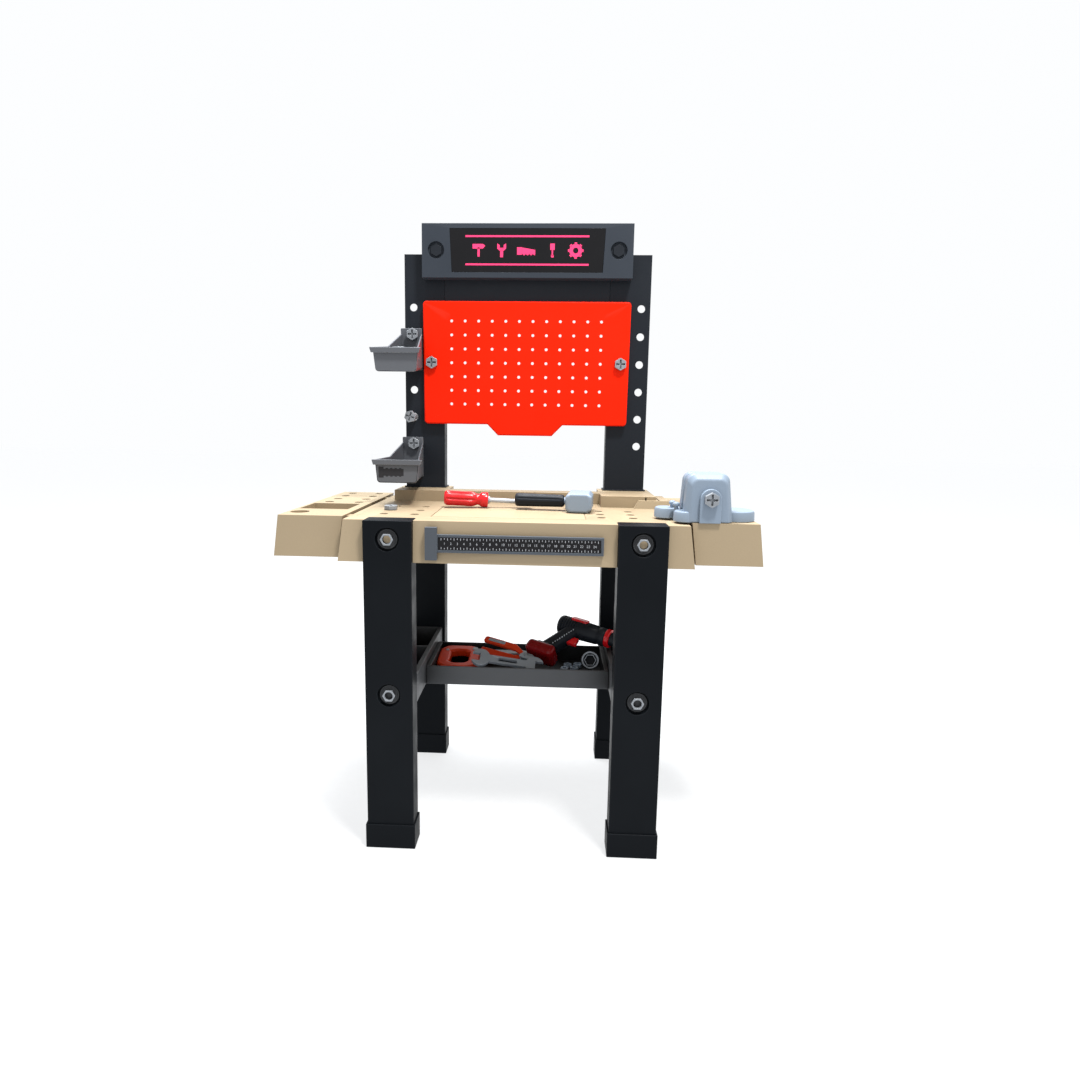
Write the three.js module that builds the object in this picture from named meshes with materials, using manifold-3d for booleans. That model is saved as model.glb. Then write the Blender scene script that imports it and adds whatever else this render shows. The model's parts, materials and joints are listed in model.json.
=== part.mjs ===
// Toy workbench: four bolted legs, a moulded worktop with two clip-on wings, a shelf,
// two uprights with a header and a pegboard, a vise, bins, and the loose tools that lie on it.
// Millimetres. X to the right, Y from front to back, Z up. Y = 0 is the front face of the
// front legs while the parts are laid out; the whole bench is then centred over the origin.
import * as THREE from 'three';
import { mergeVertices } from 'three/addons/utils/BufferGeometryUtils.js';
import Module from 'manifold-3d';

const wasm = await Module();
wasm.setup();

// ---- driving dimensions -------------------------------------------------------------
const GAP = 0.3; // clearance between touching parts
const OVER = 5; // how far a cutter runs past the face it cuts
const ROUND = 16; // sides of an ordinary round hole or boss
const FINE = 24; // sides of a large round part
const BENCH_FRONT = -2.4;
const BENCH_REAR = 368;

const LEG = { x: 191, width: 74, depth: 36, wall: 3, base: 3.3, frontTop: 528, rearTop: 521.5 };
const REAR_LEG_FACE = 354;
const FOOT = { height: 40, proud: 2.4, floor: 3 };
const BOLT = { upperZ: 499.3, lowerZ: 254.2, pocket: 18, pocketDepth: 8, floor: 3, bore: 7 };
const NUT = { washer: 15.5, washerTop: 2.4, hex: 10, height: 6, bore: 6.5 };
const PEG = { radius: 6, inset: 3.5 };

const TOP = { z: 527, plate: 5, base: 463, half: 261, halfBase: 269, wall: 4 };
const TOP_FRONT = { top: 13, base: 9 };
const TOP_REAR = { top: 346, base: 350 };
const RIDGE = { z: 547, front: 262, rear: 356, midRear: 300, half: 239, innerHalf: 142, blockFront: 220 };
const SCREW_HOLE = 7.1;
const LEFT_HOLES = { xs: [-215, -165], ys: [82, 131, 180] };
const RIGHT_HOLES = { xs: [134, 184], ys: [86, 125, 164] };
const GROOVE = { x: [-135, 108], y: [60, 192], width: 1.4, depth: 1.2 };
const MITRE = { x: [198.6, 261], y: [208, 296], lean: [9.4, 4], height: 14 };
const MITRE_SLITS = { runs: [[221, 40], [244, 68]], width: 2.6, depth: 6 };

const WING = { z: 530, plate: 4, base: 466, inner: 265.5, outer: 366, lean: 7.5, wall: 4 };
const WING_Y = { front: 26, rear: BENCH_REAR, draft: 2 };
const POCKET = { x: [280, 361], y: [104, 178], depth: 36, wall: 3 };
const TOOL_HOLES = { xs: [289, 342], first: 201, pitch: 48, rows: 4, radius: 8 };
const CUP = { x: 346, y: 66, radius: 15, depth: 14 };
const TAB = { reach: 11, width: 18, height: 7, ys: [50, 292] };

const POST = { inner: 154, outer: 229, front: 322, depth: 30, wall: 3, top: 981 };
const POST_FLANGE = { proud: 3, height: 2 };
const POST_TONGUE = { inner: 157, outer: 189, top: 1018 };
const POST_HOLES = { x: 212.5, top: 885.5, pitch: 50.7, count: 6 };
const TENON = { width: 56, depth: 18, height: 14 };

const HEADER = { half: 192, z: [935, 1030], front: 298.6, wall: 3, boss: 18 };
const LABEL = { topHalf: 141, baseHalf: 137, z: [945, 1021], sink: 2, thick: 1.5 };
const PLUG = { x: 166, z: 983.5, pocket: 15, sink: 6, hex: 11.4, height: 4, shaft: 5, bore: 5.6 };
const CROSSBAR = { z: [880, 1018], depth: 23, wall: 3 };

const BOARD = { front: 309.6, plate: 3, rim: 3, z: [670, 896], topHalf: 193, baseHalf: 191, corner: 7 };
const BOARD_TAB = { z: 649.5, half: 71, baseHalf: 51 };
const BOARD_HOLES = { columns: 12, rows: 7, half: 139, z: [707.5, 860], radius: 2.7, sides: 6 };
const BOARD_SCREW = { x: 176, z: 783.6, boss: 12 };

const SCREW = { hex: 11.5, head: 7.3, shaft: 6.2, cross: 3.4, crossDepth: 3.2, arm: 8.2 };

const SPARE = { standOff: 24, lean: 0.08 };

const BIN = { rows: [1, 5], x: -215.5, depth: 141, height: 76.5, screw: 64.5, wall: 2.5, droop: [0.09, 0] };
const BIN_HALF = { back: 20, bend: 28, front: 39, base: 35.5, lip: 43.5 };
const BIN_RIM = { z: 40.5, height: 9, bend: 79, proud: 5, flare: 2.5 };

const STORED = { shaft: 30, y: 214, z: 794.4 };

const ENDBOX = { inner: 159, outer: 228, z: [220, 268], wall: 4, innerWall: 8, floor: 3, divider: 200 };
const TRAY = { half: 158.7, y: [138.6, 273.6], z: [220, 252.6], wall: 4, rimWall: 8, floor: 3 };

const VISE = { x: [253.5, 327], lean: [3, 6.5], front: 28, jaw: 26, slot: 6, top: 604, base: 16 };
const VISE_CHAMFER = 13;
const VISE_SLIDE = { x: [-30, 6], depth: 8, rear: 92, closing: 4.5 };
const VISE_RIB = { x: 290.5, half: 15.8, proud: 6, screwZ: 566 };
const VISE_LOBES = [[236, 90, 19], [258, 46, 18], [338, 70, 30], [296, 86, 34]];
const VISE_SEAT = WING.z + GAP;

const SQUARE = { back: 9, thick: 5, x: [-116, 133], z: [480.5, 508], rim: 4, sink: 1.2 };
const SQUARE_HEAD = { x: [-134, -116], z: [469, 519], thick: 8 };
const HOOK = { xs: [-80, 95], z: 494, radius: 3, reach: 3.5, slack: 0.6 };

const PLASTIC = { roughness: 0.45, metalness: 0 };
const FINISH = {
  black: { color: 0x1b2026, ...PLASTIC },
  header: { color: 0x343a43, ...PLASTIC },
  label: { color: 0x0d0e12, roughness: 0.2, metalness: 0 },
  board: { color: 0xf23a08, roughness: 0.4, metalness: 0 },
  beige: { color: 0xc9b48c, roughness: 0.55, metalness: 0 },
  grey: { color: 0x8b939c, ...PLASTIC },
  shelf: { color: 0x5a5d61, ...PLASTIC },
  vise: { color: 0x9fabba, roughness: 0.4, metalness: 0 },
  red: { color: 0xd0101c, roughness: 0.25, metalness: 0 },
  orange: { color: 0xe0481a, roughness: 0.4, metalness: 0 },
  bin: { color: 0x70767d, ...PLASTIC },
};

// ---- solids from three.js geometry --------------------------------------------------
const WELD = 1e-3;

function solidOf(geometry) {
  geometry.deleteAttribute('normal');
  geometry.deleteAttribute('uv');
  const merged = mergeVertices(geometry, WELD);
  const corners = merged.index.array;
  const kept = [];
  for (let i = 0; i < corners.length; i += 3) {
    const [a, b, c] = [corners[i], corners[i + 1], corners[i + 2]];
    if (a !== b && b !== c && c !== a) {
      kept.push(a, b, c);
    }
  }
  return new wasm.Manifold(new wasm.Mesh({
    numProp: 3,
    vertProperties: new Float32Array(merged.attributes.position.array),
    triVerts: new Uint32Array(kept),
  }));
}

const middle = (span) => (span[0] + span[1]) / 2;
const length = (span) => span[1] - span[0];
const mirrored = (side, low, high) => (side > 0 ? [low, high] : [-high, -low]);
const grown = (span) => [span[0] - OVER, span[1] + OVER];

function box(x, y, z) {
  const geometry = new THREE.BoxGeometry(length(x), length(y), length(z));
  return solidOf(geometry.translate(middle(x), middle(y), middle(z)));
}

// A box whose top and bottom rectangles differ: each is { x: [low, high], y: [low, high], z }.
function tapered(top, base) {
  const geometry = new THREE.BoxGeometry(1, 1, 1);
  const corner = geometry.attributes.position;
  for (let i = 0; i < corner.count; i += 1) {
    const level = corner.getZ(i) > 0 ? top : base;
    const x = level.x[corner.getX(i) > 0 ? 1 : 0];
    const y = level.y[corner.getY(i) > 0 ? 1 : 0];
    corner.setXYZ(i, x, y, level.z);
  }
  return solidOf(geometry);
}

const ALONG = {
  x: (geometry) => geometry.rotateZ(-Math.PI / 2),
  y: (geometry) => geometry,
  z: (geometry) => geometry.rotateX(Math.PI / 2),
};

// A round or many-sided rod. The centre holds the two coordinates across the axis, in X, Y, Z order.
function rod(axis, centre, span, radius, sides = ROUND, endRadius = radius) {
  const geometry = new THREE.CylinderGeometry(endRadius, radius, length(span), sides);
  ALONG[axis](geometry);
  const place = { x: [middle(span), ...centre], y: [centre[0], middle(span), centre[1]] };
  place.z = [...centre, middle(span)];
  return solidOf(geometry.translate(...place[axis]));
}

// A flat outline pushed along an axis. Its coordinates are (x, y), (x, z) or (y, z).
function prism(axis, shape, span, curveSegments = 6) {
  const depth = length(span);
  const geometry = new THREE.ExtrudeGeometry(shape, { depth, bevelEnabled: false, curveSegments });
  if (axis === 'z') {
    geometry.translate(0, 0, span[0]);
  } else if (axis === 'y') {
    geometry.rotateX(Math.PI / 2).translate(0, span[1], 0);
  } else {
    geometry.rotateX(Math.PI / 2).rotateZ(Math.PI / 2).translate(span[0], 0, 0);
  }
  return solidOf(geometry);
}

function outline(points) {
  return new THREE.Shape(points.map(([a, b]) => new THREE.Vector2(a, b)));
}

function roundedOutline(a, b, radius) {
  const shape = new THREE.Shape();
  shape.absarc(a[1] - radius, b[0] + radius, radius, -Math.PI / 2, 0);
  shape.absarc(a[1] - radius, b[1] - radius, radius, 0, Math.PI / 2);
  shape.absarc(a[0] + radius, b[1] - radius, radius, Math.PI / 2, Math.PI);
  shape.absarc(a[0] + radius, b[0] + radius, radius, Math.PI, 1.5 * Math.PI);
  return shape;
}

function turned(profile, sides = FINE) {
  const points = profile.map(([radius, along]) => new THREE.Vector2(radius, along));
  return solidOf(new THREE.LatheGeometry(points, sides));
}

const joined = (solids) => solids.reduce((sum, next) => sum.add(next));
const cut = (body, cutters) => cutters.reduce((rest, next) => rest.subtract(next), body);

// ---- the scene graph ----------------------------------------------------------------
const bench = new THREE.Group();
bench.position.y = -(BENCH_FRONT + BENCH_REAR) / 2;

function part(name, solid, finish, parent = bench) {
  const { vertProperties, triVerts } = solid.getMesh();
  const geometry = new THREE.BufferGeometry();
  geometry.setAttribute('position', new THREE.BufferAttribute(vertProperties, 3));
  geometry.setIndex(new THREE.BufferAttribute(triVerts, 1));
  geometry.computeVertexNormals();
  const mesh = new THREE.Mesh(geometry, new THREE.MeshStandardMaterial(finish));
  mesh.name = name;
  parent.add(mesh);
  return mesh;
}

function group(x, y, z, parent = bench) {
  const node = new THREE.Group();
  node.position.set(x, y, z);
  parent.add(node);
  return node;
}

// ---- legs, feet and their bolts -----------------------------------------------------
// A leg stands with its outer face at y = 0 and its depth towards +Y.
function legSolid(top) {
  const half = LEG.width / 2;
  const shell = box([-half, half], [0, LEG.depth], [LEG.base, top]);
  const inside = box(
    [LEG.wall - half, half - LEG.wall],
    [LEG.wall, LEG.depth - LEG.wall],
    [LEG.base - OVER, top - LEG.wall],
  );
  const bossRadius = BOLT.pocket + LEG.wall;
  const bossEnd = BOLT.pocketDepth + BOLT.floor;
  const levels = [BOLT.upperZ, BOLT.lowerZ];
  const bosses = levels.map((z) => rod('y', [0, z], [LEG.wall / 2, bossEnd], bossRadius, FINE));
  const pockets = levels.map((z) => rod('y', [0, z], [-OVER, BOLT.pocketDepth], BOLT.pocket, FINE));
  const bores = levels.map((z) => rod('y', [0, z], [-OVER, LEG.depth + OVER], BOLT.bore));
  return cut(joined([shell.subtract(inside), ...bosses]), [...pockets, ...bores]);
}

// The foot cap is a cup: the leg stands in it.
function footSolid() {
  const half = LEG.width / 2;
  const outer = box(
    [-half - FOOT.proud, half + FOOT.proud],
    [-FOOT.proud, LEG.depth + FOOT.proud],
    [0, FOOT.height],
  );
  const socket = box(
    [-half - GAP, half + GAP],
    [-GAP, LEG.depth + GAP],
    [FOOT.floor, FOOT.height + OVER],
  );
  return outer.subtract(socket);
}

// A flanged nut whose seat is at y = 0 and whose hexagon points towards -Y.
function legNutSolid() {
  const washer = rod('y', [0, 0], [-NUT.washerTop, 0], NUT.washer, FINE);
  const hex = rod('y', [0, 0], [-NUT.height, 0], NUT.hex, 6);
  const bore = rod('y', [0, 0], [-NUT.height - OVER, OVER], NUT.bore);
  return washer.add(hex).subtract(bore);
}

function addLegs() {
  for (const side of [-1, 1]) {
    for (const rear of [false, true]) {
      const name = `${rear ? 'rear' : 'front'}_${side < 0 ? 'left' : 'right'}`;
      const corner = group(side * LEG.x, rear ? REAR_LEG_FACE : 0, 0);
      corner.rotation.z = rear ? Math.PI : 0;
      part(`leg_${name}`, legSolid(rear ? LEG.rearTop : LEG.frontTop), FINISH.black, corner);
      part(`foot_${name}`, footSolid(), FINISH.black, corner);
      const seat = BOLT.pocketDepth - GAP;
      for (const [level, z] of [['upper', BOLT.upperZ], ['lower', BOLT.lowerZ]]) {
        part(`leg_nut_${name}_${level}`, legNutSolid(), FINISH.grey, corner).position.set(0, seat, z);
      }
    }
  }
}

// ---- worktop ------------------------------------------------------------------------
// The pegs that pass through a leg, from the inner part at y = root to just short of its outer face.
function legPegs(z, frontRoot, rearRoot, sides) {
  const frontTip = PEG.inset;
  const rearTip = REAR_LEG_FACE - PEG.inset;
  return sides.flatMap((side) => [
    rod('y', [side * LEG.x, z], [frontTip, frontRoot], PEG.radius),
    rod('y', [side * LEG.x, z], [rearRoot, rearTip], PEG.radius),
  ]);
}

function legNotch(side, rear, grow, zTop) {
  const half = LEG.width / 2 + GAP + grow;
  const inner = LEG.depth + GAP + grow;
  const y = rear ? [REAR_LEG_FACE - inner, RIDGE.rear + OVER] : [-OVER, inner];
  return box(mirrored(side, LEG.x - half, LEG.x + half), y, [TOP.base - OVER, zTop]);
}

function worktopShell() {
  const level = (half, front, rear, z) => ({ x: [-half, half], y: [front, rear], z });
  const wall = TOP.wall;
  const outer = tapered(
    level(TOP.half, TOP_FRONT.top, TOP_REAR.top, TOP.z),
    level(TOP.halfBase, TOP_FRONT.base, TOP_REAR.base, TOP.base),
  );
  const drop = (TOP.halfBase - TOP.half) / (TOP.z - TOP.base);
  const low = TOP.base - OVER;
  const lowHalf = TOP.halfBase + OVER * drop;
  let cavity = tapered(
    level(TOP.half - wall, TOP_FRONT.top + wall, TOP_REAR.top - wall, TOP.z - TOP.plate),
    level(lowHalf - wall, TOP_FRONT.base + wall, TOP_REAR.base - wall, low),
  );
  let body = outer;
  for (const side of [-1, 1]) {
    cavity = cavity.subtract(legNotch(side, false, wall, TOP.z));
    cavity = cavity.subtract(legNotch(side, true, wall, TOP.z));
  }
  body = body.subtract(cavity);
  for (const side of [-1, 1]) {
    body = body.subtract(legNotch(side, false, 0, TOP.z + OVER));
    body = body.subtract(legNotch(side, true, 0, TOP.z - TOP.plate));
  }
  return body;
}

// The raised ridge along the rear edge, which the uprights stand on.
function ridgeSolid() {
  const z = [TOP.z - 1, RIDGE.z];
  const middleRail = box([-RIDGE.half, RIDGE.half], [RIDGE.front, RIDGE.midRear], z);
  const ends = [-1, 1].map((side) => (
    box(mirrored(side, RIDGE.innerHalf, RIDGE.half), [RIDGE.front, RIDGE.rear], z)
  ));
  const block = box([RIDGE.innerHalf, RIDGE.half], [RIDGE.blockFront, RIDGE.rear], z);
  return joined([middleRail, ...ends, block]);
}

function mitrePlatform() {
  const { x, y, lean, height } = MITRE;
  return tapered(
    { x: [x[0] + lean[0], x[1]], y: [y[0] + lean[1], y[1]], z: TOP.z + height },
    { x, y, z: TOP.z - 1 },
  );
}

function mitreSlits() {
  const { runs, width, depth } = MITRE_SLITS;
  const top = TOP.z + MITRE.height;
  const start = MITRE.y[0] + MITRE.lean[1] + 4;
  return runs.map(([x, run]) => (
    box([x - width / 2, x + width / 2], [start, start + run], [top - depth, top + OVER])
  ));
}

function worktopSolid() {
  const frontRoot = LEG.depth + GAP + TOP.wall / 2;
  const rearRoot = REAR_LEG_FACE - frontRoot;
  const hooks = HOOK.xs.map((x) => (
    rod('y', [x, HOOK.z], [SQUARE.back - HOOK.reach, TOP_FRONT.top], HOOK.radius, 12)
  ));
  const added = joined([
    worktopShell(),
    ridgeSolid(),
    mitrePlatform(),
    ...hooks,
    ...legPegs(BOLT.upperZ, frontRoot, rearRoot, [-1, 1]),
  ]);
  const through = [TOP.base, TOP.z + OVER];
  const holes = [LEFT_HOLES, RIGHT_HOLES].flatMap(({ xs, ys }) => (
    xs.flatMap((x) => ys.map((y) => rod('z', [x, y], through, SCREW_HOLE)))
  ));
  const grooveZ = [TOP.z - GROOVE.depth, TOP.z + OVER];
  const half = GROOVE.width / 2;
  const grooves = GROOVE.x.map((x) => box([x - half, x + half], GROOVE.y, grooveZ));
  const across = GROOVE.y.map((y) => box(GROOVE.x, [y - half, y + half], grooveZ));
  const sockets = [-1, 1].map((side) => tenonSolid(side, GAP));
  const slots = [-1, 1].flatMap((side) => TAB.ys.map((y) => tabSolid(side, y, GAP)));
  return cut(added, [...holes, ...grooves, ...across, ...mitreSlits(), ...sockets, ...slots]);
}

// ---- wings --------------------------------------------------------------------------
// The tab of a wing that drops into the edge of the worktop.
function tabSolid(side, y, grow) {
  const x = mirrored(side, TOP.half - TAB.reach - grow, WING.inner + WING.wall / 2);
  const z = [TOP.z - TAB.height - grow, grow ? TOP.z + OVER : TOP.z];
  return box(x, [y - grow, y + TAB.width + grow], z);
}

function wingShell(side) {
  const level = (inner, outer, front, rear, z) => (
    { x: mirrored(side, inner, outer), y: [front, rear], z }
  );
  const { wall, lean } = WING;
  const outer = tapered(
    level(WING.inner, WING.outer, WING_Y.front, WING_Y.rear, WING.z),
    level(WING.inner + lean, WING.outer + lean, WING_Y.front - WING_Y.draft, WING_Y.rear, WING.base),
  );
  const cavity = tapered(
    level(
      WING.inner + wall,
      WING.outer - wall,
      WING_Y.front + wall,
      WING_Y.rear - wall,
      WING.z - WING.plate,
    ),
    level(
      WING.inner + lean + wall,
      WING.outer + lean - wall,
      WING_Y.front - WING_Y.draft + wall,
      WING_Y.rear - wall,
      WING.base - 1,
    ),
  );
  return { outer, cavity };
}

function leftWingSolid() {
  const side = -1;
  const { outer, cavity } = wingShell(side);
  const { wall } = POCKET;
  const pocketX = mirrored(side, ...POCKET.x);
  const floor = WING.z - POCKET.depth;
  const tub = box(
    [pocketX[0] - wall, pocketX[1] + wall],
    [POCKET.y[0] - wall, POCKET.y[1] + wall],
    [floor - wall, WING.z],
  );
  const cupSpan = [WING.z - CUP.depth - wall, WING.z];
  const cupTub = rod('z', [side * CUP.x, CUP.y], cupSpan, CUP.radius + wall, FINE);
  const hollow = cavity.subtract(tub).subtract(cupTub);
  const pocket = box(pocketX, POCKET.y, [floor, WING.z + OVER]);
  const cup = rod('z', [side * CUP.x, CUP.y], [WING.z - CUP.depth, WING.z + OVER], CUP.radius, FINE);
  const holes = [];
  for (const x of TOOL_HOLES.xs) {
    for (let row = 0; row < TOOL_HOLES.rows; row += 1) {
      const y = TOOL_HOLES.first + row * TOOL_HOLES.pitch;
      holes.push(rod('z', [side * x, y], [WING.z - 2 * WING.plate, WING.z + OVER], TOOL_HOLES.radius));
    }
  }
  const tabs = TAB.ys.map((y) => tabSolid(side, y, 0));
  return cut(joined([outer.subtract(hollow), ...tabs]), [pocket, cup, ...holes]);
}

function rightWingSolid() {
  const { outer, cavity } = wingShell(1);
  const tabs = TAB.ys.map((y) => tabSolid(1, y, 0));
  return joined([outer.subtract(cavity), ...tabs]);
}

// ---- uprights, crossbar, header and pegboard ----------------------------------------
// The tenon under an upright; the ridge has the matching socket.
function tenonSolid(side, grow) {
  const x = (POST.inner + POST.outer) / 2;
  const y = POST.front + POST.depth / 2;
  return box(
    mirrored(side, x - TENON.width / 2 - grow, x + TENON.width / 2 + grow),
    [y - TENON.depth / 2 - grow, y + TENON.depth / 2 + grow],
    [RIDGE.z - TENON.height - grow, RIDGE.z + GAP + POST_FLANGE.height],
  );
}

function postHoles() {
  return Array.from({ length: POST_HOLES.count }, (_, i) => POST_HOLES.top - i * POST_HOLES.pitch);
}

// A channel that is open at the back.
function channel(x, yFront, depth, z, wall) {
  const outer = box(x, [yFront, yFront + depth], z);
  const inside = box(
    [x[0] + wall, x[1] - wall],
    [yFront + wall, yFront + depth + OVER],
    [z[0] + wall, z[1] - wall],
  );
  return outer.subtract(inside);
}

function uprightSolid(side) {
  const base = RIDGE.z + GAP;
  const { proud, height } = POST_FLANGE;
  const { front, depth, wall, top } = POST;
  const column = channel(mirrored(side, POST.inner, POST.outer), front, depth, [base, top], wall);
  const tongueX = mirrored(side, POST_TONGUE.inner, POST_TONGUE.outer);
  const tongue = channel(tongueX, front, depth, [top - wall, POST_TONGUE.top], wall);
  const flange = box(
    mirrored(side, POST.inner - proud, POST.outer + proud),
    [POST.front - proud, POST.front + POST.depth + proud],
    [base, base + height],
  );
  const drill = [POST.front - OVER, POST.front + POST.wall + OVER];
  const holes = postHoles().map((z) => rod('y', [side * POST_HOLES.x, z], drill, SCREW_HOLE));
  const boardHole = rod('y', [side * BOARD_SCREW.x, BOARD_SCREW.z], drill, SCREW_HOLE);
  const plugHole = rod('y', [side * PLUG.x, PLUG.z], drill, PLUG.bore);
  return cut(joined([column, tongue, flange, tenonSolid(side, 0)]), [...holes, boardHole, plugHole]);
}

function crossbarSolid() {
  const half = POST.inner - GAP;
  return channel([-half, half], POST.front, CROSSBAR.depth, CROSSBAR.z, CROSSBAR.wall);
}

function labelOutline(grow) {
  const { topHalf, baseHalf, z } = LABEL;
  return outline([
    [-baseHalf - grow, z[0] - grow],
    [baseHalf + grow, z[0] - grow],
    [topHalf + grow, z[1] + grow],
    [-topHalf - grow, z[1] + grow],
  ]);
}

function headerSolid() {
  const depth = POST.front - GAP - HEADER.front;
  const shell = channel([-HEADER.half, HEADER.half], HEADER.front, depth, HEADER.z, HEADER.wall);
  const bosses = [-1, 1].map((side) => (
    rod('y', [side * PLUG.x, PLUG.z], [HEADER.front + 1, POST.front - GAP], HEADER.boss, FINE)
  ));
  const pockets = [-1, 1].flatMap((side) => [
    rod('y', [side * PLUG.x, PLUG.z], [HEADER.front - OVER, HEADER.front + PLUG.sink], PLUG.pocket, FINE),
    rod('y', [side * PLUG.x, PLUG.z], [HEADER.front, POST.front + OVER], PLUG.bore),
  ]);
  const recess = prism('y', labelOutline(GAP), [HEADER.front - OVER, HEADER.front + LABEL.sink]);
  const backing = prism('y', labelOutline(GAP + 2), [HEADER.front + 1, HEADER.front + LABEL.sink + 2]);
  return cut(joined([shell, backing, ...bosses]), [...pockets, recess]);
}

function headerLabelSolid() {
  const back = HEADER.front + LABEL.sink - GAP;
  return prism('y', labelOutline(0), [back - LABEL.thick, back]);
}

// The hexagonal plug of the header and its shaft, which reaches into the upright.
function headerPlugSolid() {
  const hex = rod('y', [0, 0], [-PLUG.height, 0], PLUG.hex, 6);
  const reach = POST.front + POST.wall + 4 - HEADER.front - PLUG.sink + GAP;
  return hex.add(rod('y', [0, 0], [-1, reach], PLUG.shaft));
}

function boardOutline(inset) {
  const { z, topHalf, baseHalf, corner } = BOARD;
  const [low, high] = [z[0] + inset, z[1] - inset];
  const shape = new THREE.Shape();
  const top = topHalf - inset;
  const bottom = baseHalf - inset;
  const radius = corner - inset / 2;
  shape.moveTo(-BOARD_TAB.baseHalf + inset / 2, BOARD_TAB.z + inset);
  shape.lineTo(BOARD_TAB.baseHalf - inset / 2, BOARD_TAB.z + inset);
  shape.lineTo(BOARD_TAB.half - inset / 2, low);
  shape.lineTo(bottom - radius, low);
  shape.absarc(bottom - radius, low + radius, radius, -Math.PI / 2, 0);
  shape.absarc(top - radius, high - radius, radius, 0, Math.PI / 2);
  shape.absarc(-top + radius, high - radius, radius, Math.PI / 2, Math.PI);
  shape.absarc(-bottom + radius, low + radius, radius, Math.PI, 1.5 * Math.PI);
  shape.lineTo(-BOARD_TAB.half + inset / 2, low);
  return shape;
}

function pegboardSolid() {
  const back = POST.front - GAP;
  const plateBack = BOARD.front + BOARD.plate;
  const full = prism('y', boardOutline(0), [BOARD.front, back], 3);
  const inside = prism('y', boardOutline(BOARD.rim), [plateBack, back + OVER], 3);
  const bosses = [-1, 1].map((side) => (
    rod('y', [side * BOARD_SCREW.x, BOARD_SCREW.z], [BOARD.front + 1, back], BOARD_SCREW.boss)
  ));
  const bores = [-1, 1].map((side) => (
    rod('y', [side * BOARD_SCREW.x, BOARD_SCREW.z], [BOARD.front - OVER, back + OVER], SCREW_HOLE)
  ));
  const holes = [];
  const { columns, rows, half, z, radius, sides } = BOARD_HOLES;
  for (let column = 0; column < columns; column += 1) {
    for (let row = 0; row < rows; row += 1) {
      const x = -half + (2 * half * column) / (columns - 1);
      const height = z[0] + (length(z) * row) / (rows - 1);
      holes.push(rod('y', [x, height], [BOARD.front - 1, plateBack + 1], radius, sides));
    }
  }
  return cut(joined([full.subtract(inside), ...bosses]), [...bores, ...holes]);
}

// ---- toy screws ---------------------------------------------------------------------
// A hexagonal head with a crossed slot. The seat is at y = 0, the head towards -Y.
function toyScrewSolid(shaftLength) {
  const head = rod('y', [0, 0], [-SCREW.head, 0], SCREW.hex, 6);
  const shaft = rod('y', [0, 0], [-1, shaftLength], SCREW.shaft, 12);
  const slotY = [-SCREW.head - OVER, SCREW.crossDepth - SCREW.head];
  const half = SCREW.cross / 2;
  const slots = [
    box([-SCREW.arm, SCREW.arm], slotY, [-half, half]),
    box([-half, half], slotY, [-SCREW.arm, SCREW.arm]),
  ];
  return cut(head.add(shaft), slots);
}

function addScrew(name, shaftLength, x, y, z) {
  const screw = part(name, toyScrewSolid(shaftLength), FINISH.grey);
  screw.position.set(x, y, z);
  return screw;
}

function addBoardScrews() {
  const reach = POST.front + POST.wall - BOARD.front + 5;
  addScrew('board_screw_left', reach, -BOARD_SCREW.x, BOARD.front - GAP, BOARD_SCREW.z);
  addScrew('board_screw_right', reach, BOARD_SCREW.x, BOARD.front - GAP, BOARD_SCREW.z);
}

function addLooseScrews() {
  const reach = POST.wall + 9;
  const spare = addScrew(
    'spare_screw',
    reach + SPARE.standOff,
    -POST_HOLES.x - SPARE.standOff * SPARE.lean,
    POST.front - SPARE.standOff,
    postHoles()[4],
  );
  spare.rotation.set(0, 0.3, -SPARE.lean, 'ZYX');
  const tableScrew = addScrew('table_screw', 20, LEFT_HOLES.xs[0], LEFT_HOLES.ys[1], TOP.z + GAP);
  tableScrew.rotation.x = -Math.PI / 2;
}

// ---- storage bins -------------------------------------------------------------------
// One side-to-side slice of a bin: half widths at its top and base, where it stands, its height.
function binSlice(y, half, halfBase, top, base) {
  return [[half, y, top], [-half, y, top], [-halfBase, y, base], [halfBase, y, base]];
}

// A solid through several slices of four corners each, from front to back.
function loft(slices) {
  const corners = slices.flat();
  const faces = [[0, 1, 2, 3]];
  for (let i = 0; i + 1 < slices.length; i += 1) {
    for (let k = 0; k < 4; k += 1) {
      const next = (k + 1) % 4;
      faces.push([4 * i + next, 4 * i + k, 4 * i + 4 + k, 4 * i + 4 + next]);
    }
  }
  const last = 4 * (slices.length - 1);
  faces.push([last + 3, last + 2, last + 1, last]);
  const triangles = faces.flatMap(([a, b, c, d]) => [a, b, c, a, c, d]);
  const geometry = new THREE.BufferGeometry();
  geometry.setAttribute('position', new THREE.Float32BufferAttribute(corners.flat(), 3));
  geometry.setIndex(triangles);
  return solidOf(geometry);
}

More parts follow.
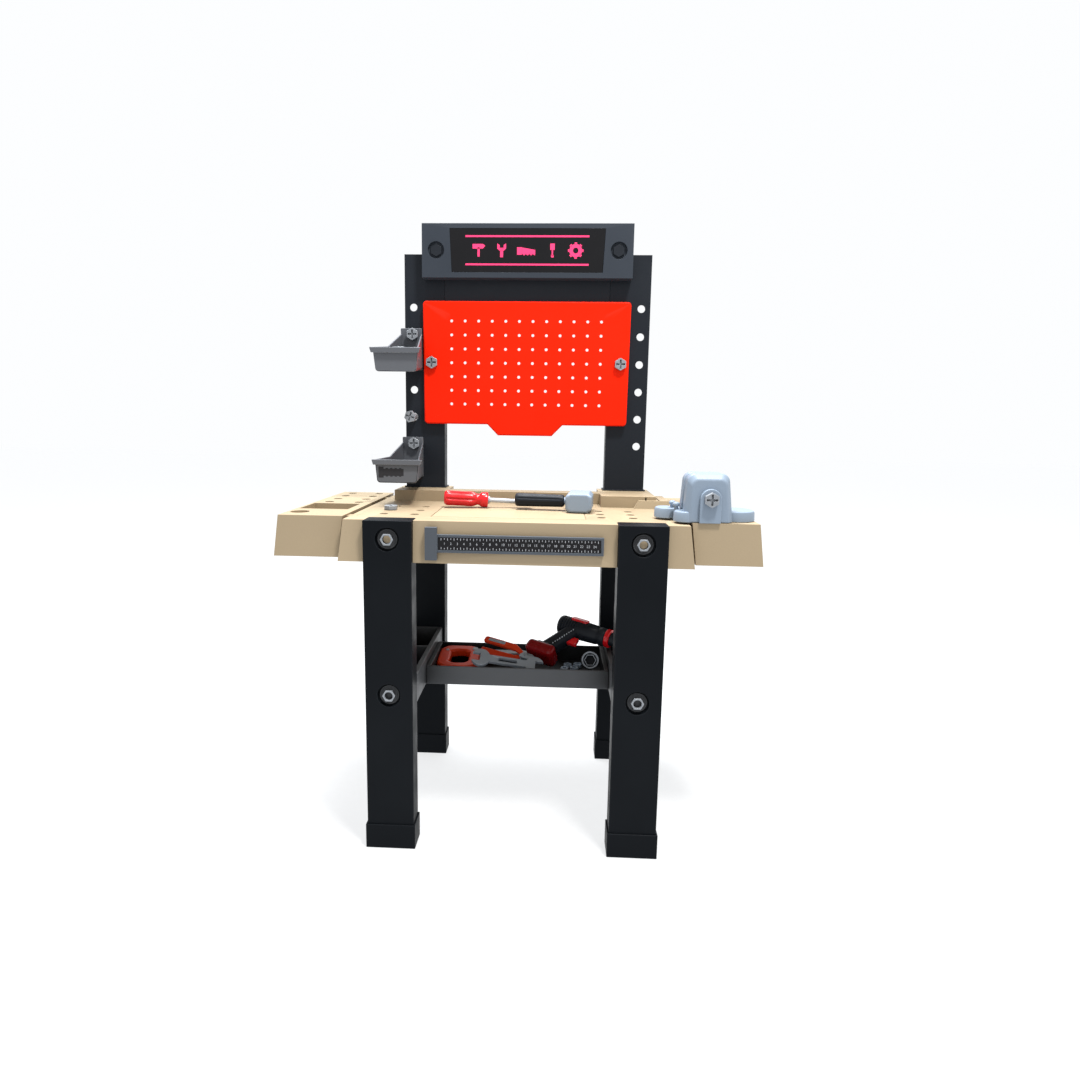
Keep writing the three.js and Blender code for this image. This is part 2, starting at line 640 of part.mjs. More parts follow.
// A scoop that hangs on one screw. Its back is at y = 0, its base at z = 0, and it opens upwards.
function binSolid(screwX) {
  const { depth, height, wall, screw } = BIN;
  const { back, bend, front, base } = BIN_HALF;
  const shoulder = height - 10;
  const body = (inset, raise) => loft([
    binSlice(inset - depth, front - inset, base - inset, BIN_RIM.z + raise, inset),
    binSlice(-BIN_RIM.bend, bend - inset, bend - inset, BIN_RIM.z + 2 + raise, inset),
    binSlice(-inset - 4, back + 0.5 - inset, back + 0.5 - inset, shoulder - 1 + raise, inset),
    binSlice(-inset, back - inset, back - inset, raise ? height + raise : shoulder, inset),
  ]);
  const plate = box([-BIN_HALF.back, BIN_HALF.back], [-wall, 0], [0, height]);
  const rimZ = [BIN_RIM.z - BIN_RIM.height, BIN_RIM.z];
  const lipBase = BIN_HALF.lip - BIN_RIM.flare;
  const lip = tapered(
    { x: [-BIN_HALF.lip, BIN_HALF.lip], y: [-depth - BIN_RIM.proud, wall - depth], z: rimZ[1] },
    { x: [-lipBase, lipBase], y: [1.5 - depth - BIN_RIM.proud, wall - depth], z: rimZ[0] },
  );
  const hole = rod('y', [screwX, screw], [-2 * OVER, OVER], SCREW_HOLE);
  return cut(body(0, 0).add(lip), [body(wall, OVER)]).add(plate).subtract(hole);
}

function addBins() {
  const back = POST.front - GAP;
  const screwX = -POST_HOLES.x - BIN.x;
  const reach = BIN.wall + POST.wall + 9;
  const names = ['upper', 'lower'];
  BIN.rows.forEach((row, i) => {
    const z = postHoles()[row];
    const droop = BIN.droop[i];
    const bin = group(BIN.x, back, z - BIN.screw);
    bin.rotation.x = droop;
    part(`bin_${names[i]}`, binSolid(screwX), FINISH.bin, bin);
    const tilt = (BIN.screw + SCREW.hex) * Math.sin(droop);
    const seat = back - BIN.wall - 2 * GAP - tilt;
    addScrew(`bin_screw_${names[i]}`, reach + tilt, -POST_HOLES.x, seat, z);
  });
  const stored = addScrew('stored_screw', STORED.shaft, BIN.x - 1, STORED.y, STORED.z);
  stored.rotation.x = -Math.PI / 2;
}

// ---- shelf --------------------------------------------------------------------------
function endBoxSolid(side) {
  const y = [LEG.depth + GAP, REAR_LEG_FACE - LEG.depth - GAP];
  const { inner, outer, z, wall, innerWall, floor, divider } = ENDBOX;
  const shell = box(mirrored(side, inner, outer), y, z);
  const cells = [[y[0] + wall, divider - wall / 2], [divider + wall / 2, y[1] - wall]].map((cell) => (
    box(mirrored(side, inner + innerWall, outer - wall), cell, [z[0] + floor, z[1] + OVER])
  ));
  const pegs = legPegs(BOLT.lowerZ, y[0] + wall / 2, y[1] - wall / 2, [side]);
  return joined([cut(shell, cells), ...pegs]);
}

function shelfTraySolid() {
  const { half, y, z, wall, rimWall, floor } = TRAY;
  const outer = box([-half, half], y, z);
  const inside = box(
    [rimWall - half, half - rimWall],
    [y[0] + wall, y[1] - wall],
    [z[0] + floor, z[1] + OVER],
  );
  return outer.subtract(inside);
}

// ---- vise ---------------------------------------------------------------------------
function jawOutline() {
  const [left, right] = VISE.x;
  const { top, lean } = VISE;
  const shape = new THREE.Shape();
  shape.moveTo(left, VISE_SEAT);
  shape.lineTo(right, VISE_SEAT);
  shape.lineTo(right - lean[1], top - VISE_CHAMFER);
  const shoulder = top - VISE_CHAMFER;
  const corners = [right - lean[1] - VISE_CHAMFER, left + lean[0] + VISE_CHAMFER];
  shape.absarc(corners[0], shoulder, VISE_CHAMFER, 0, Math.PI / 2);
  shape.absarc(corners[1], shoulder, VISE_CHAMFER, Math.PI / 2, Math.PI);
  return shape;
}

function viseBaseSolid() {
  const front = VISE.front;
  const jaw = prism('y', jawOutline(), [front, front + VISE.jaw], 4);
  const { x, half, proud, screwZ } = VISE_RIB;
  const rib = new THREE.Shape();
  rib.moveTo(x - half, VISE_SEAT);
  rib.lineTo(x + half, VISE_SEAT);
  rib.absarc(x, screwZ, half, 0, Math.PI);
  const boss = prism('y', rib, [front - proud, front + 1], 6);
  const deck = [VISE_SEAT, VISE_SEAT + VISE.base];
  const lobes = VISE_LOBES.map(([lobeX, lobeY, radius]) => rod('z', [lobeX, lobeY], deck, radius, FINE));
  const { rear, depth } = VISE_SLIDE;
  const floor = box(VISE.x, [front, front + rear], deck);
  const bore = rod('y', [x, screwZ], [front - proud - OVER, front + VISE.jaw + OVER], SCREW_HOLE);
  const slide = box(
    [x + VISE_SLIDE.x[0] - GAP, x + VISE_SLIDE.x[1] + GAP],
    [viseJawFront() - VISE_SLIDE.closing, front + rear + OVER],
    [deck[1] - depth, deck[1] + OVER],
  );
  return cut(joined([jaw, boss, floor, ...lobes]), [bore, slide]);
}

const viseJawFront = () => VISE.front + VISE.jaw + VISE.slot;

// The moving jaw stands on the base and runs back in its slide.
function viseJawSolid() {
  const y = [viseJawFront(), viseJawFront() + VISE.jaw];
  const deckTop = VISE_SEAT + VISE.base;
  const block = prism('y', jawOutline(), y, 4).subtract(
    box([VISE.x[0] - OVER, VISE.x[1] + OVER], grown(y), [VISE_SEAT - OVER, deckTop + GAP]),
  );
  const keyX = VISE_SLIDE.x.map((x) => VISE_RIB.x + x);
  const key = box(keyX, y, [deckTop - VISE_SLIDE.depth + 1, deckTop + 1]);
  const bore = rod('y', [VISE_RIB.x, VISE_RIB.screwZ], grown(y), SCREW_HOLE);
  return block.add(key).subtract(bore);
}

function addVise() {
  part('vise_base', viseBaseSolid(), FINISH.vise);
  part('vise_jaw', viseJawSolid(), FINISH.vise);
  const reach = viseJawFront() + VISE.jaw - VISE.front + VISE_RIB.proud - 2;
  addScrew('vise_screw', reach, VISE_RIB.x, VISE.front - VISE_RIB.proud - GAP, VISE_RIB.screwZ);
}

// ---- T-square on the front apron ----------------------------------------------------
function squareFrameSolid() {
  const { back, thick, x, z, rim, sink } = SQUARE;
  const front = back - thick;
  const blade = box(x, [front, back], z);
  const head = box(SQUARE_HEAD.x, [back - SQUARE_HEAD.thick, back], SQUARE_HEAD.z);
  const recess = box([x[0] + 1, x[1] - rim], [front - OVER, front + sink], [z[0] + rim, z[1] - rim]);
  const sockets = HOOK.xs.map((hookX) => (
    rod('y', [hookX, HOOK.z], [back - HOOK.reach - HOOK.slack, back + OVER], HOOK.radius + HOOK.slack, 12)
  ));
  return cut(blade.add(head), [recess, ...sockets]);
}

function squareScaleSolid() {
  const { back, thick, x, z, rim, sink } = SQUARE;
  const floor = back - thick + sink;
  return box(
    [x[0] + 1 + GAP, x[1] - rim - GAP],
    [floor - sink / 2 - GAP, floor - GAP],
    [z[0] + rim + GAP, z[1] - rim - GAP],
  );
}

// ---- hand tools on the worktop ------------------------------------------------------
const DRIVER = { lift: 4.2, handle: 76, radius: 13, shaft: 4, length: 152, tip: 6.5 };
const DRIVER_BLADE = { length: 17, joint: 3, half: 1.6 };
const DRIVER_LIES = { x: -132, y: 176, pitch: 0.045, yaw: 0.09 };

// The screwdriver lies along +X from the end of its handle.
function driverHandleSolid() {
  const { handle, radius } = DRIVER;
  const profile = [
    [0, 0],
    [radius * 0.8, 0],
    [radius, 5],
    [radius, handle * 0.66],
    [radius * 0.72, handle * 0.76],
    [radius, handle * 0.84],
    [radius, handle],
    [0, handle],
  ];
  const bore = rod('y', [0, 0], [handle * 0.4, handle + OVER], DRIVER.shaft + GAP, 12);
  return turned(profile, ROUND).subtract(bore);
}

function driverShaftSolid() {
  const { handle, shaft, length: full, tip } = DRIVER;
  const start = full - DRIVER_BLADE.length;
  const stem = rod('y', [0, 0], [handle * 0.4 + GAP, start + DRIVER_BLADE.joint], shaft, 12);
  const blade = tapered(
    { x: [-tip, tip], y: [start, full], z: DRIVER_BLADE.half },
    { x: [-tip, tip], y: [start, full], z: -DRIVER_BLADE.half },
  );
  return stem.add(blade);
}

function addScrewdriver() {
  const { x, y, pitch, yaw } = DRIVER_LIES;
  const driver = group(x, y, TOP.z + DRIVER.radius + DRIVER.lift);
  driver.rotation.set(0, pitch, yaw, 'ZYX');
  part('driver_handle', driverHandleSolid(), FINISH.red, driver).rotation.z = -Math.PI / 2;
  part('driver_shaft', driverShaftSolid(), FINISH.grey, driver).rotation.z = -Math.PI / 2;
}

const HAMMER = { radius: 11.5, grip: 84, neck: 6.5, neckLength: 20, bevel: 6 };
const HAMMER_HEAD = { width: 44, length: 66, height: 33 };
const HAMMER_LIES = { x: -8, y: 172, yaw: -0.1 };

// The hammer lies along +X; its head is across the end of the handle.
function hammerHandleSolid() {
  const { radius, grip, neck } = HAMMER;
  const end = grip + HAMMER.neckLength;
  const profile = [
    [0, 0],
    [radius * 0.86, 0],
    [radius, 4],
    [radius * 0.9, grip],
    [neck, grip + 3],
    [neck, end],
    [0, end],
  ];
  return turned(profile, ROUND);
}

function hammerHeadSolid() {
  const { neck, neckLength, grip, bevel } = HAMMER;
  const [w, l, h] = [HAMMER_HEAD.width / 2, HAMMER_HEAD.length / 2, HAMMER_HEAD.height / 2];
  const face = outline([
    [-w, -h + bevel], [-w + bevel, -h], [w - bevel, -h], [w, -h + bevel],
    [w, h - bevel], [w - bevel, h], [-w + bevel, h], [-w, h - bevel],
  ]);
  const head = prism('y', face, [-l, l], 1);
  const socketEnd = grip + neckLength + GAP - HAMMER_HEAD_X;
  const socket = rod('x', [0, 0], [-w - OVER, socketEnd], neck + GAP, ROUND);
  return head.subtract(socket);
}

const HAMMER_HEAD_X = HAMMER.grip + 4 + HAMMER_HEAD.width / 2;

function addHammer() {
  const hammer = group(HAMMER_LIES.x, HAMMER_LIES.y, TOP.z + GAP + HAMMER_HEAD.height / 2);
  hammer.rotation.z = HAMMER_LIES.yaw;
  part('hammer_handle', hammerHandleSolid(), FINISH.black, hammer).rotation.z = -Math.PI / 2;
  part('hammer_head', hammerHeadSolid(), FINISH.vise, hammer).position.x = HAMMER_HEAD_X;
}

// ---- tools in the shelf tray --------------------------------------------------------
const SHELF_FLOOR = TRAY.z[0] + TRAY.floor + GAP;

const SAW = { width: 76, depth: 82, thick: 16, bladeLength: 74, bladeWidth: 22, blade: 3 };
const SAW_GRIP = { corner: 20, x: [22, 56], y: [16, 62], inner: 14 };
const SAW_TANG = { length: 14, width: 24, edge: 1.2, gap: 0.5 };
const SAW_LIES = { x: -150, y: 180, tilt: 0.15 };

function sawHandleSolid() {
  const { width, depth, thick } = SAW;
  const body = prism('z', roundedOutline([0, width], [0, depth], SAW_GRIP.corner), [0, thick], 4);
  const window = roundedOutline(SAW_GRIP.x, SAW_GRIP.y, SAW_GRIP.inner);
  const finger = prism('z', window, [-OVER, thick + OVER], 4);
  const rear = depth - SAW_TANG.edge;
  const half = SAW.blade / 2 + SAW_TANG.gap;
  const slot = box(
    [width - SAW_TANG.length, width + OVER],
    [rear - SAW_TANG.width, rear + OVER],
    [thick / 2 - half, thick / 2 + half],
  );
  return cut(body, [finger, slot]);
}

function sawBladeSolid() {
  const { width, depth, thick, bladeLength, bladeWidth, blade } = SAW;
  const rear = depth - SAW_TANG.edge - SAW_TANG.gap - 0.1;
  const root = width - SAW_TANG.length + 2 * SAW_TANG.gap;
  const shape = outline([
    [root, rear - bladeWidth],
    [width + bladeLength, rear - bladeWidth * 0.55],
    [width + bladeLength, rear],
    [root, rear],
  ]);
  return prism('z', shape, [(thick - blade) / 2, (thick + blade) / 2], 1);
}

function addSaw() {
  const saw = group(SAW_LIES.x, SAW_LIES.y, SHELF_FLOOR);
  saw.rotation.x = SAW_LIES.tilt;
  part('saw_handle', sawHandleSolid(), FINISH.orange, saw);
  part('saw_blade', sawBladeSolid(), FINISH.grey, saw);
}

const WRENCH = { length: 130, jaw: 17, shank: 7, thick: 7, gape: 8, slot: 34, slotHalf: 3.4, slotEnd: 3 };
const WRENCH_LIES = { at: [-18, 160, 256.5], roll: 0.6, pitch: 0.13 };

// An open-ended wrench along +X, centred on its length.
function wrenchSolid() {
  const { length: full, jaw, shank, thick, gape, slot, slotHalf, slotEnd } = WRENCH;
  const reach = full / 2 - jaw;
  const span = [-thick / 2, thick / 2];
  const far = [-thick, thick];
  const heads = [-1, 1].map((side) => rod('z', [side * reach, 0], span, jaw, FINE));
  const stem = box([-reach, reach], [-shank, shank], span);
  const mouths = [-1, 1].map((side) => (
    box(mirrored(side, reach + 1, reach + jaw + OVER), [-gape, gape], far)
  ));
  const opening = roundedOutline([-slot / 2, slot / 2], [-slotHalf, slotHalf], slotEnd);
  const window = prism('z', opening, far, 3);
  return cut(joined([...heads, stem]), [...mouths, window]);
}

function addWrench() {
  const wrench = part('wrench', wrenchSolid(), FINISH.grey);
  wrench.position.set(...WRENCH_LIES.at);
  wrench.rotation.set(WRENCH_LIES.roll, WRENCH_LIES.pitch, 0, 'ZYX');
}

const PLIERS = { handle: 88, grip: 12, jaw: 16, thick: 7, pivot: 8, pin: 3.5 };
const PLIERS_LIES = { at: [13, 190, 257], roll: 0.62, pitch: 0.1, yaw: -0.4 };

// One half of the pliers: grip towards -X, jaw towards +X, crossing at the pivot.
function pliersHalfSolid(side, z) {
  const { handle, grip, jaw, pivot } = PLIERS;
  const near = 4;
  const points = [
    [-handle, near], [-handle + 4, near + grip], [-24, near + grip - 1], [0, 3],
    [jaw, -0.5], [jaw, -4], [jaw - 6, -8], [0, -6], [-22, near - 1],
  ];
  const turn = (list) => (side > 0 ? list.reverse() : list.map(([a, b]) => [a, -b]));
  const arm = prism('z', outline(turn(points)), z, 1);
  return arm.add(rod('z', [0, 0], z, pivot, ROUND));
}

function addPliers() {
  const { thick, pin } = PLIERS;
  const { at, roll, pitch, yaw } = PLIERS_LIES;
  const pliers = group(...at);
  pliers.rotation.set(roll, pitch, yaw, 'ZYX');
  const upper = pliersHalfSolid(1, [GAP / 2, thick]);
  const lower = pliersHalfSolid(-1, [-thick, -GAP / 2]);
  const pivotPin = rod('z', [0, 0], [-thick, thick / 2], pin, 12);
  const hole = rod('z', [0, 0], [-thick - OVER, OVER], pin + GAP, 12);
  part('pliers_upper_half', upper.add(pivotPin), FINISH.orange, pliers);
  part('pliers_lower_half', lower.subtract(hole), FINISH.orange, pliers);
}

const SOCKET = { radius: 16, length: 24, mouth: 9.5, depth: 16, at: [128, 172, 260], tilt: -0.4 };

const TRIGGER = { x: [-2, 17], y: [-4, 4], z: [-38, -22] };
const DRILL = { radius: 19, back: -34, front: 62, grip: 62, rake: 0.42, width: 28, travel: 5 };
const BATTERY = { x: [-30, 26], half: 22, corner: 9, height: 24, lead: 10 };
const CHUCK = { collar: 17, gap: 9, length: 22, radius: 13, tip: 8, spindle: 6, seat: 12, bit: 3 };
const DRILL_LIES = { at: [105, 244, 294], roll: -1.02, pitch: 0.1, yaw: -0.504 };

// The drill is built with its motor axis along +X and its grip towards -Z.
function drillHousingSolid() {
  const { radius, back, front, grip, rake, width, travel } = DRILL;
  const motor = rod('x', [0, 0], [back, front], radius, FINE, radius * 0.86);
  const slope = Math.tan(rake) * grip;
  const stem = tapered(
    { x: [-width / 2, width / 2], y: [-12, 12], z: -8 },
    { x: [-width / 2 - slope, width / 2 - 3 - slope], y: [-11, 11], z: -grip },
  );
  const { x, y, z } = TRIGGER;
  const guide = box([x[0] - travel, x[1] + OVER], [y[0] - GAP, y[1] + GAP], [z[0] - GAP, z[1] + GAP]);
  const socket = rod('x', [0, 0], [front - CHUCK.seat, front + OVER], CHUCK.spindle + GAP);
  return cut(motor.add(stem), [guide, socket]);
}

function drillBatterySolid() {
  const { grip, rake } = DRILL;
  const { half, corner, height, lead } = BATTERY;
  const shift = -Math.tan(rake) * (grip + lead);
  const shape = roundedOutline(BATTERY.x.map((x) => shift + x), [-half, half], corner);
  return prism('z', shape, [-grip - height, -grip - GAP], 4);
}

function drillTriggerSolid() {
  return box(TRIGGER.x, TRIGGER.y, TRIGGER.z);
}

function drillCollarSolid() {
  const { front } = DRILL;
  const ring = rod('x', [0, 0], [front + GAP, front + CHUCK.gap], CHUCK.collar, FINE);
  return ring.subtract(rod('x', [0, 0], [front - OVER, front + CHUCK.gap + OVER], CHUCK.spindle + GAP));
}

function drillChuckSolid() {
  const start = DRILL.front + CHUCK.gap + GAP;
  const end = start + CHUCK.length;
  const nose = rod('x', [0, 0], [start, end], CHUCK.radius, ROUND, CHUCK.tip);
  const spindle = rod('x', [0, 0], [DRILL.front - CHUCK.seat + GAP, start + 1], CHUCK.spindle);
  const bit = rod('x', [0, 0], [end - CHUCK.seat, end + OVER], CHUCK.bit, 6);
  return nose.add(spindle).subtract(bit);
}

function addDrill() {
  const { at, roll, pitch, yaw } = DRILL_LIES;
  const drill = group(...at);
  drill.rotation.set(roll, pitch, yaw, 'ZYX');
  part('drill_housing', drillHousingSolid(), FINISH.black, drill);
  part('drill_battery', drillBatterySolid(), FINISH.red, drill);
  part('drill_trigger', drillTriggerSolid(), FINISH.red, drill);
  part('drill_collar', drillCollarSolid(), FINISH.red, drill);
  part('drill_chuck', drillChuckSolid(), FINISH.black, drill);
}

function addSocket() {
  const { radius, length: full, mouth, depth } = SOCKET;
  const bore = rod('y', [0, 0], [-OVER, depth], mouth, 6);
  const tube = rod('y', [0, 0], [0, full], radius, FINE).subtract(bore);
  const socket = part('socket_driver', tube, FINISH.black);
  socket.position.set(...SOCKET.at);
  socket.rotation.x = SOCKET.tilt;
}

// ---- the bench ----------------------------------------------------------------------
addLegs();
part('worktop', worktopSolid(), FINISH.beige);
part('wing_left', leftWingSolid(), FINISH.beige);
part('wing_right', rightWingSolid(), FINISH.beige);
part('upright_left', uprightSolid(-1), FINISH.black);
part('upright_right', uprightSolid(1), FINISH.black);
part('crossbar', crossbarSolid(), FINISH.black);
part('header', headerSolid(), FINISH.header);
part('header_label', headerLabelSolid(), FINISH.label);
for (const [name, side] of [['left', -1], ['right', 1]]) {
  const plug = part(`header_plug_${name}`, headerPlugSolid(), FINISH.black);
  plug.position.set(side * PLUG.x, HEADER.front + PLUG.sink - GAP, PLUG.z);
  part(`shelf_box_${name}`, endBoxSolid(side), FINISH.shelf);
}
part('pegboard', pegboardSolid(), FINISH.board);
part('shelf_tray', shelfTraySolid(), FINISH.shelf);
addBoardScrews();
addLooseScrews();
addBins();
addVise();
part('square_frame', squareFrameSolid(), FINISH.grey);
part('square_scale', squareScaleSolid(), FINISH.label);
addScrewdriver();
addHammer();
addSaw();
addWrench();
addPliers();
addDrill();
addSocket();

export default bench;
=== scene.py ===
import json
import math

import bmesh
import bpy
from mathutils import Euler, Matrix, Vector

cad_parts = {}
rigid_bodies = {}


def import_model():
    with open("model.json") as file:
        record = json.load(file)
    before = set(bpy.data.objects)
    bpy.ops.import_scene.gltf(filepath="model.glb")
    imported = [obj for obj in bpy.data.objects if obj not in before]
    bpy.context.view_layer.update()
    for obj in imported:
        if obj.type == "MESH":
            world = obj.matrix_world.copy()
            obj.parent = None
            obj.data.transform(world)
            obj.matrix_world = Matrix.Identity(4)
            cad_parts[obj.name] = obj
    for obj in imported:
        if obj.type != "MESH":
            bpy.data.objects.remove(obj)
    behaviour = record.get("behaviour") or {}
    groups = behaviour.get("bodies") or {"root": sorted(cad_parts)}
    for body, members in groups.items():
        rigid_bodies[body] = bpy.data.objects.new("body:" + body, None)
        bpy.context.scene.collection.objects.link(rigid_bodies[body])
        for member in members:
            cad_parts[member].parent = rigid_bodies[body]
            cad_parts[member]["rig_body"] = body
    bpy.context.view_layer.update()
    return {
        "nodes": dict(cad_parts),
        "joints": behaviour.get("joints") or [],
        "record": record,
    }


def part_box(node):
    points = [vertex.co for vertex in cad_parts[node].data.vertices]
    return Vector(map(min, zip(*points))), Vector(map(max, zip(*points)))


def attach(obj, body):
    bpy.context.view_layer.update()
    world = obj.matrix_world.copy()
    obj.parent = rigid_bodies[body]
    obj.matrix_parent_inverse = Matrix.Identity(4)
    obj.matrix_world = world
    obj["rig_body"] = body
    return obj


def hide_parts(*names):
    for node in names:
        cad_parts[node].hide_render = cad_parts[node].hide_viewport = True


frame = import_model()
NODES = frame["nodes"]
JOINTS = {joint["name"]: joint for joint in frame["joints"]}
SLOT_OF = {entry["node"]: entry["material_slot"] for entry in frame["record"]["subparts"]}
MM = 0.001
TAU = 2 * math.pi
ENDS = ("front", "rear")
SIDES = ("left", "right")


# ---- camera, light and floor ----
CAMERA = {
    "sensor": 36, "lens": 22.863, "shift": (0.01728, -0.01833), "reach": 50,
    "place": (0.05534, -1.18223, 0.67888), "yaw": 0.04512, "pitch": 0.14489, "roll": 0.014246,
}
STUDIO_WHITE = (0.98, 0.99, 1.0, 1)
LIGHTS = {
    "key": {"place": (0.6, -0.9, 2.8), "target": (0, 0, 0.6), "size": 0.3, "power": 78,
            "color": (1.0, 0.98, 0.95)},
    "top": {"place": (-0.3, 0.3, 2.9), "target": (0, 0, 0.5), "size": 0.8, "power": 140,
            "color": (0.95, 0.98, 1.0)},
}
FLOOR = {"half": 12, "color": (0.22, 0.222, 0.225), "glow": 0.74}


def add_camera():
    """A camera that looks along +Y, turned by its yaw, tipped down by its pitch, and rolled."""
    camera = bpy.data.cameras.new("camera")
    camera.sensor_width = CAMERA["sensor"]
    camera.lens = CAMERA["lens"]
    camera.shift_x, camera.shift_y = CAMERA["shift"]
    camera.clip_end = CAMERA["reach"]
    yaw, pitch, roll = CAMERA["yaw"], CAMERA["pitch"], CAMERA["roll"]
    level = math.cos(pitch)
    forward = Vector((-math.sin(yaw) * level, math.cos(yaw) * level, -math.sin(pitch)))
    flat_right = Vector((math.cos(yaw), math.sin(yaw), 0))
    flat_up = flat_right.cross(forward)
    right = math.cos(roll) * flat_right + math.sin(roll) * flat_up
    up = -math.sin(roll) * flat_right + math.cos(roll) * flat_up
    holder = link(bpy.data.objects.new("camera", camera))
    turn = Matrix((right, up, -forward)).transposed().to_4x4()
    holder.matrix_world = Matrix.Translation(CAMERA["place"]) @ turn
    bpy.context.scene.camera = holder


def add_light(name, place, target, size, power, color):
    """A square lamp that faces its target."""
    light = bpy.data.lights.new(name, "AREA")
    light.shape = "SQUARE"
    light.size = size
    light.energy = power
    light.color = color
    holder = link(bpy.data.objects.new(name, light))
    holder.location = place
    aim = Vector(target) - Vector(place)
    holder.rotation_euler = aim.to_track_quat("-Z", "Y").to_euler()


def add_studio():
    """An even white room with two lamps."""
    world = bpy.data.worlds.new("studio")
    bpy.context.scene.world = world
    world.use_nodes = True
    back = world.node_tree.nodes["Background"]
    back.inputs["Color"].default_value = STUDIO_WHITE
    back.inputs["Strength"].default_value = 1.0
    for name, values in LIGHTS.items():
        add_light(name, **values)
    bpy.context.scene.view_settings.view_transform = "Standard"


def add_floor():
    """A pale floor with a glow of its own, which leaves only a soft shadow on it."""
    mesh = bpy.data.meshes.new("floor")
    half = FLOOR["half"]
    corners = [(-half, -half, 0), (half, -half, 0), (half, half, 0), (-half, half, 0)]
    mesh.from_pydata(corners, [], [(0, 1, 2, 3)])
    floor = link(bpy.data.objects.new("floor", mesh))
    matte = moulded("floor_matte", FLOOR["color"], rough=0.9, grain=60.0, depth=0.05, cloud=0.02, edge_highlight=0.0,
                    shine=0.1)
    bsdf = matte.node_tree.nodes["Principled BSDF"]
    bsdf.inputs["Emission Color"].default_value = STUDIO_WHITE
    bsdf.inputs["Emission Strength"].default_value = FLOOR["glow"]
    mesh.materials.append(matte)


# ---- node-based materials ----
# The sockets of a Mix node in its colour mode.
MIX_FACTOR, MIX_FIRST, MIX_SECOND, MIX_RESULT = 0, 6, 7, 2
# Where the painted edge highlight starts and ends: how far a corner stands out, and how well its normal
# matches a rounded one.
POINTED, MATCHED = (0.51, 0.62), (0.82, 0.99)


def new_node(tree, kind, **values):
    """A shader node with its sockets or, where it has no such socket, its settings filled in."""
    node = tree.nodes.new(kind)
    for key, value in values.items():
        if key in node.inputs:
            node.inputs[key].default_value = value
        else:
            setattr(node, key, value)
    return node


def noise(tree, coords, scale, detail):
    node = new_node(tree, "ShaderNodeTexNoise", Scale=scale, Detail=detail)
    tree.links.new(coords.outputs["Object"], node.inputs["Vector"])
    return node.outputs["Fac"]


def ramp(tree, value, spread, reach):
    """Maps a value from one span to another."""
    node = new_node(tree, "ShaderNodeMapRange")
    for key, number in zip(("From Min", "From Max", "To Min", "To Max"), (*spread, *reach)):
        node.inputs[key].default_value = number
    tree.links.new(value, node.inputs["Value"])
    return node.outputs["Result"]


def blend_color(tree, factor, first, second):
    """Mixes two colours; each is a socket or a plain colour."""
    node = new_node(tree, "ShaderNodeMix", data_type="RGBA")
    tree.links.new(factor, node.inputs[MIX_FACTOR])
    for socket, color in ((node.inputs[MIX_FIRST], first), (node.inputs[MIX_SECOND], second)):
        if isinstance(color, tuple):
            socket.default_value = (*color, 1)
        else:
            tree.links.new(color, socket)
    return node.outputs[MIX_RESULT]


def scaled(color, factor, lift=0.0):
    return tuple(min(1.0, channel * factor + lift) for channel in color)


def edge_mask(tree, reach, edge_highlight):
    """How near a point is to a sharp edge, within a reach in mm; with none, how far a corner stands out. This
    places the painted edge highlight.
    """
    geometry = new_node(tree, "ShaderNodeNewGeometry")
    if reach == 0:
        return ramp(tree, geometry.outputs["Pointiness"], POINTED, (0.0, edge_highlight))
    soft = new_node(tree, "ShaderNodeBevel", Radius=reach * MM, samples=4)
    match = new_node(tree, "ShaderNodeVectorMath", operation="DOT_PRODUCT")
    tree.links.new(soft.outputs["Normal"], match.inputs[0])
    tree.links.new(geometry.outputs["True Normal"], match.inputs[1])
    return ramp(tree, match.outputs["Value"], MATCHED, (edge_highlight, 0.0))


def moulded(name, color, rough=0.4, grain=900.0, depth=0.2, cloud=0.1, edge_highlight=0.3, shine=0.3, shade_reach=0.0,
            rim=1.5, edge=0.0):
    """Moulded plastic. depth is the grain's bump, cloud the slow change of tone, edge_highlight how strong
    the painted highlight along sharp edges is, rim how light that painted highlight gets, edge how wide it is
    in mm, and shade_reach the reach in mm of the painted shade in its recesses."""
    material = bpy.data.materials.new(name)
    material.use_nodes = True
    tree = material.node_tree
    bsdf = tree.nodes["Principled BSDF"]
    bsdf.inputs["Specular IOR Level"].default_value = shine
    coords = new_node(tree, "ShaderNodeTexCoord")
    slow = noise(tree, coords, scale=9.0, detail=4.0)
    fine = noise(tree, coords, scale=grain, detail=2.0)
    smear = noise(tree, coords, scale=26.0, detail=5.0)
    tone = blend_color(tree, slow, scaled(color, 1 - cloud), scaled(color, 1 + cloud, lift=0.002))
    speck = ramp(tree, fine, (0.35, 0.75), (0.0, 0.35))
    tone = blend_color(tree, speck, tone, scaled(color, 1.18, lift=0.003))
    # Painted highlight: sharp edges are made lighter in the colour itself, standing for the glint of light
    # along them.
    painted_tone = blend_color(tree, edge_mask(tree, edge, edge_highlight), tone, scaled(color, rim, lift=0.02))
    # Painted shade: recesses are darkened in the colour itself by ambient occlusion, standing for the shade
    # that falls in them.
    if shade_reach > 0:
        hollow = new_node(tree, "ShaderNodeAmbientOcclusion", Distance=shade_reach * MM, samples=8)
        shade = ramp(tree, hollow.outputs["AO"], (0.35, 0.95), (1.0, 0.0))
        painted_tone = blend_color(tree, shade, painted_tone, scaled(color, 0.06))
    tree.links.new(painted_tone, bsdf.inputs["Base Color"])
    gloss = ramp(tree, smear, (0.3, 0.7), (rough - 0.06, rough + 0.1))
    tree.links.new(gloss, bsdf.inputs["Roughness"])
    bump = new_node(tree, "ShaderNodeBump", Strength=depth, Distance=0.2 * MM)
    tree.links.new(fine, bump.inputs["Height"])
    tree.links.new(bump.outputs["Normal"], bsdf.inputs["Normal"])
    return material
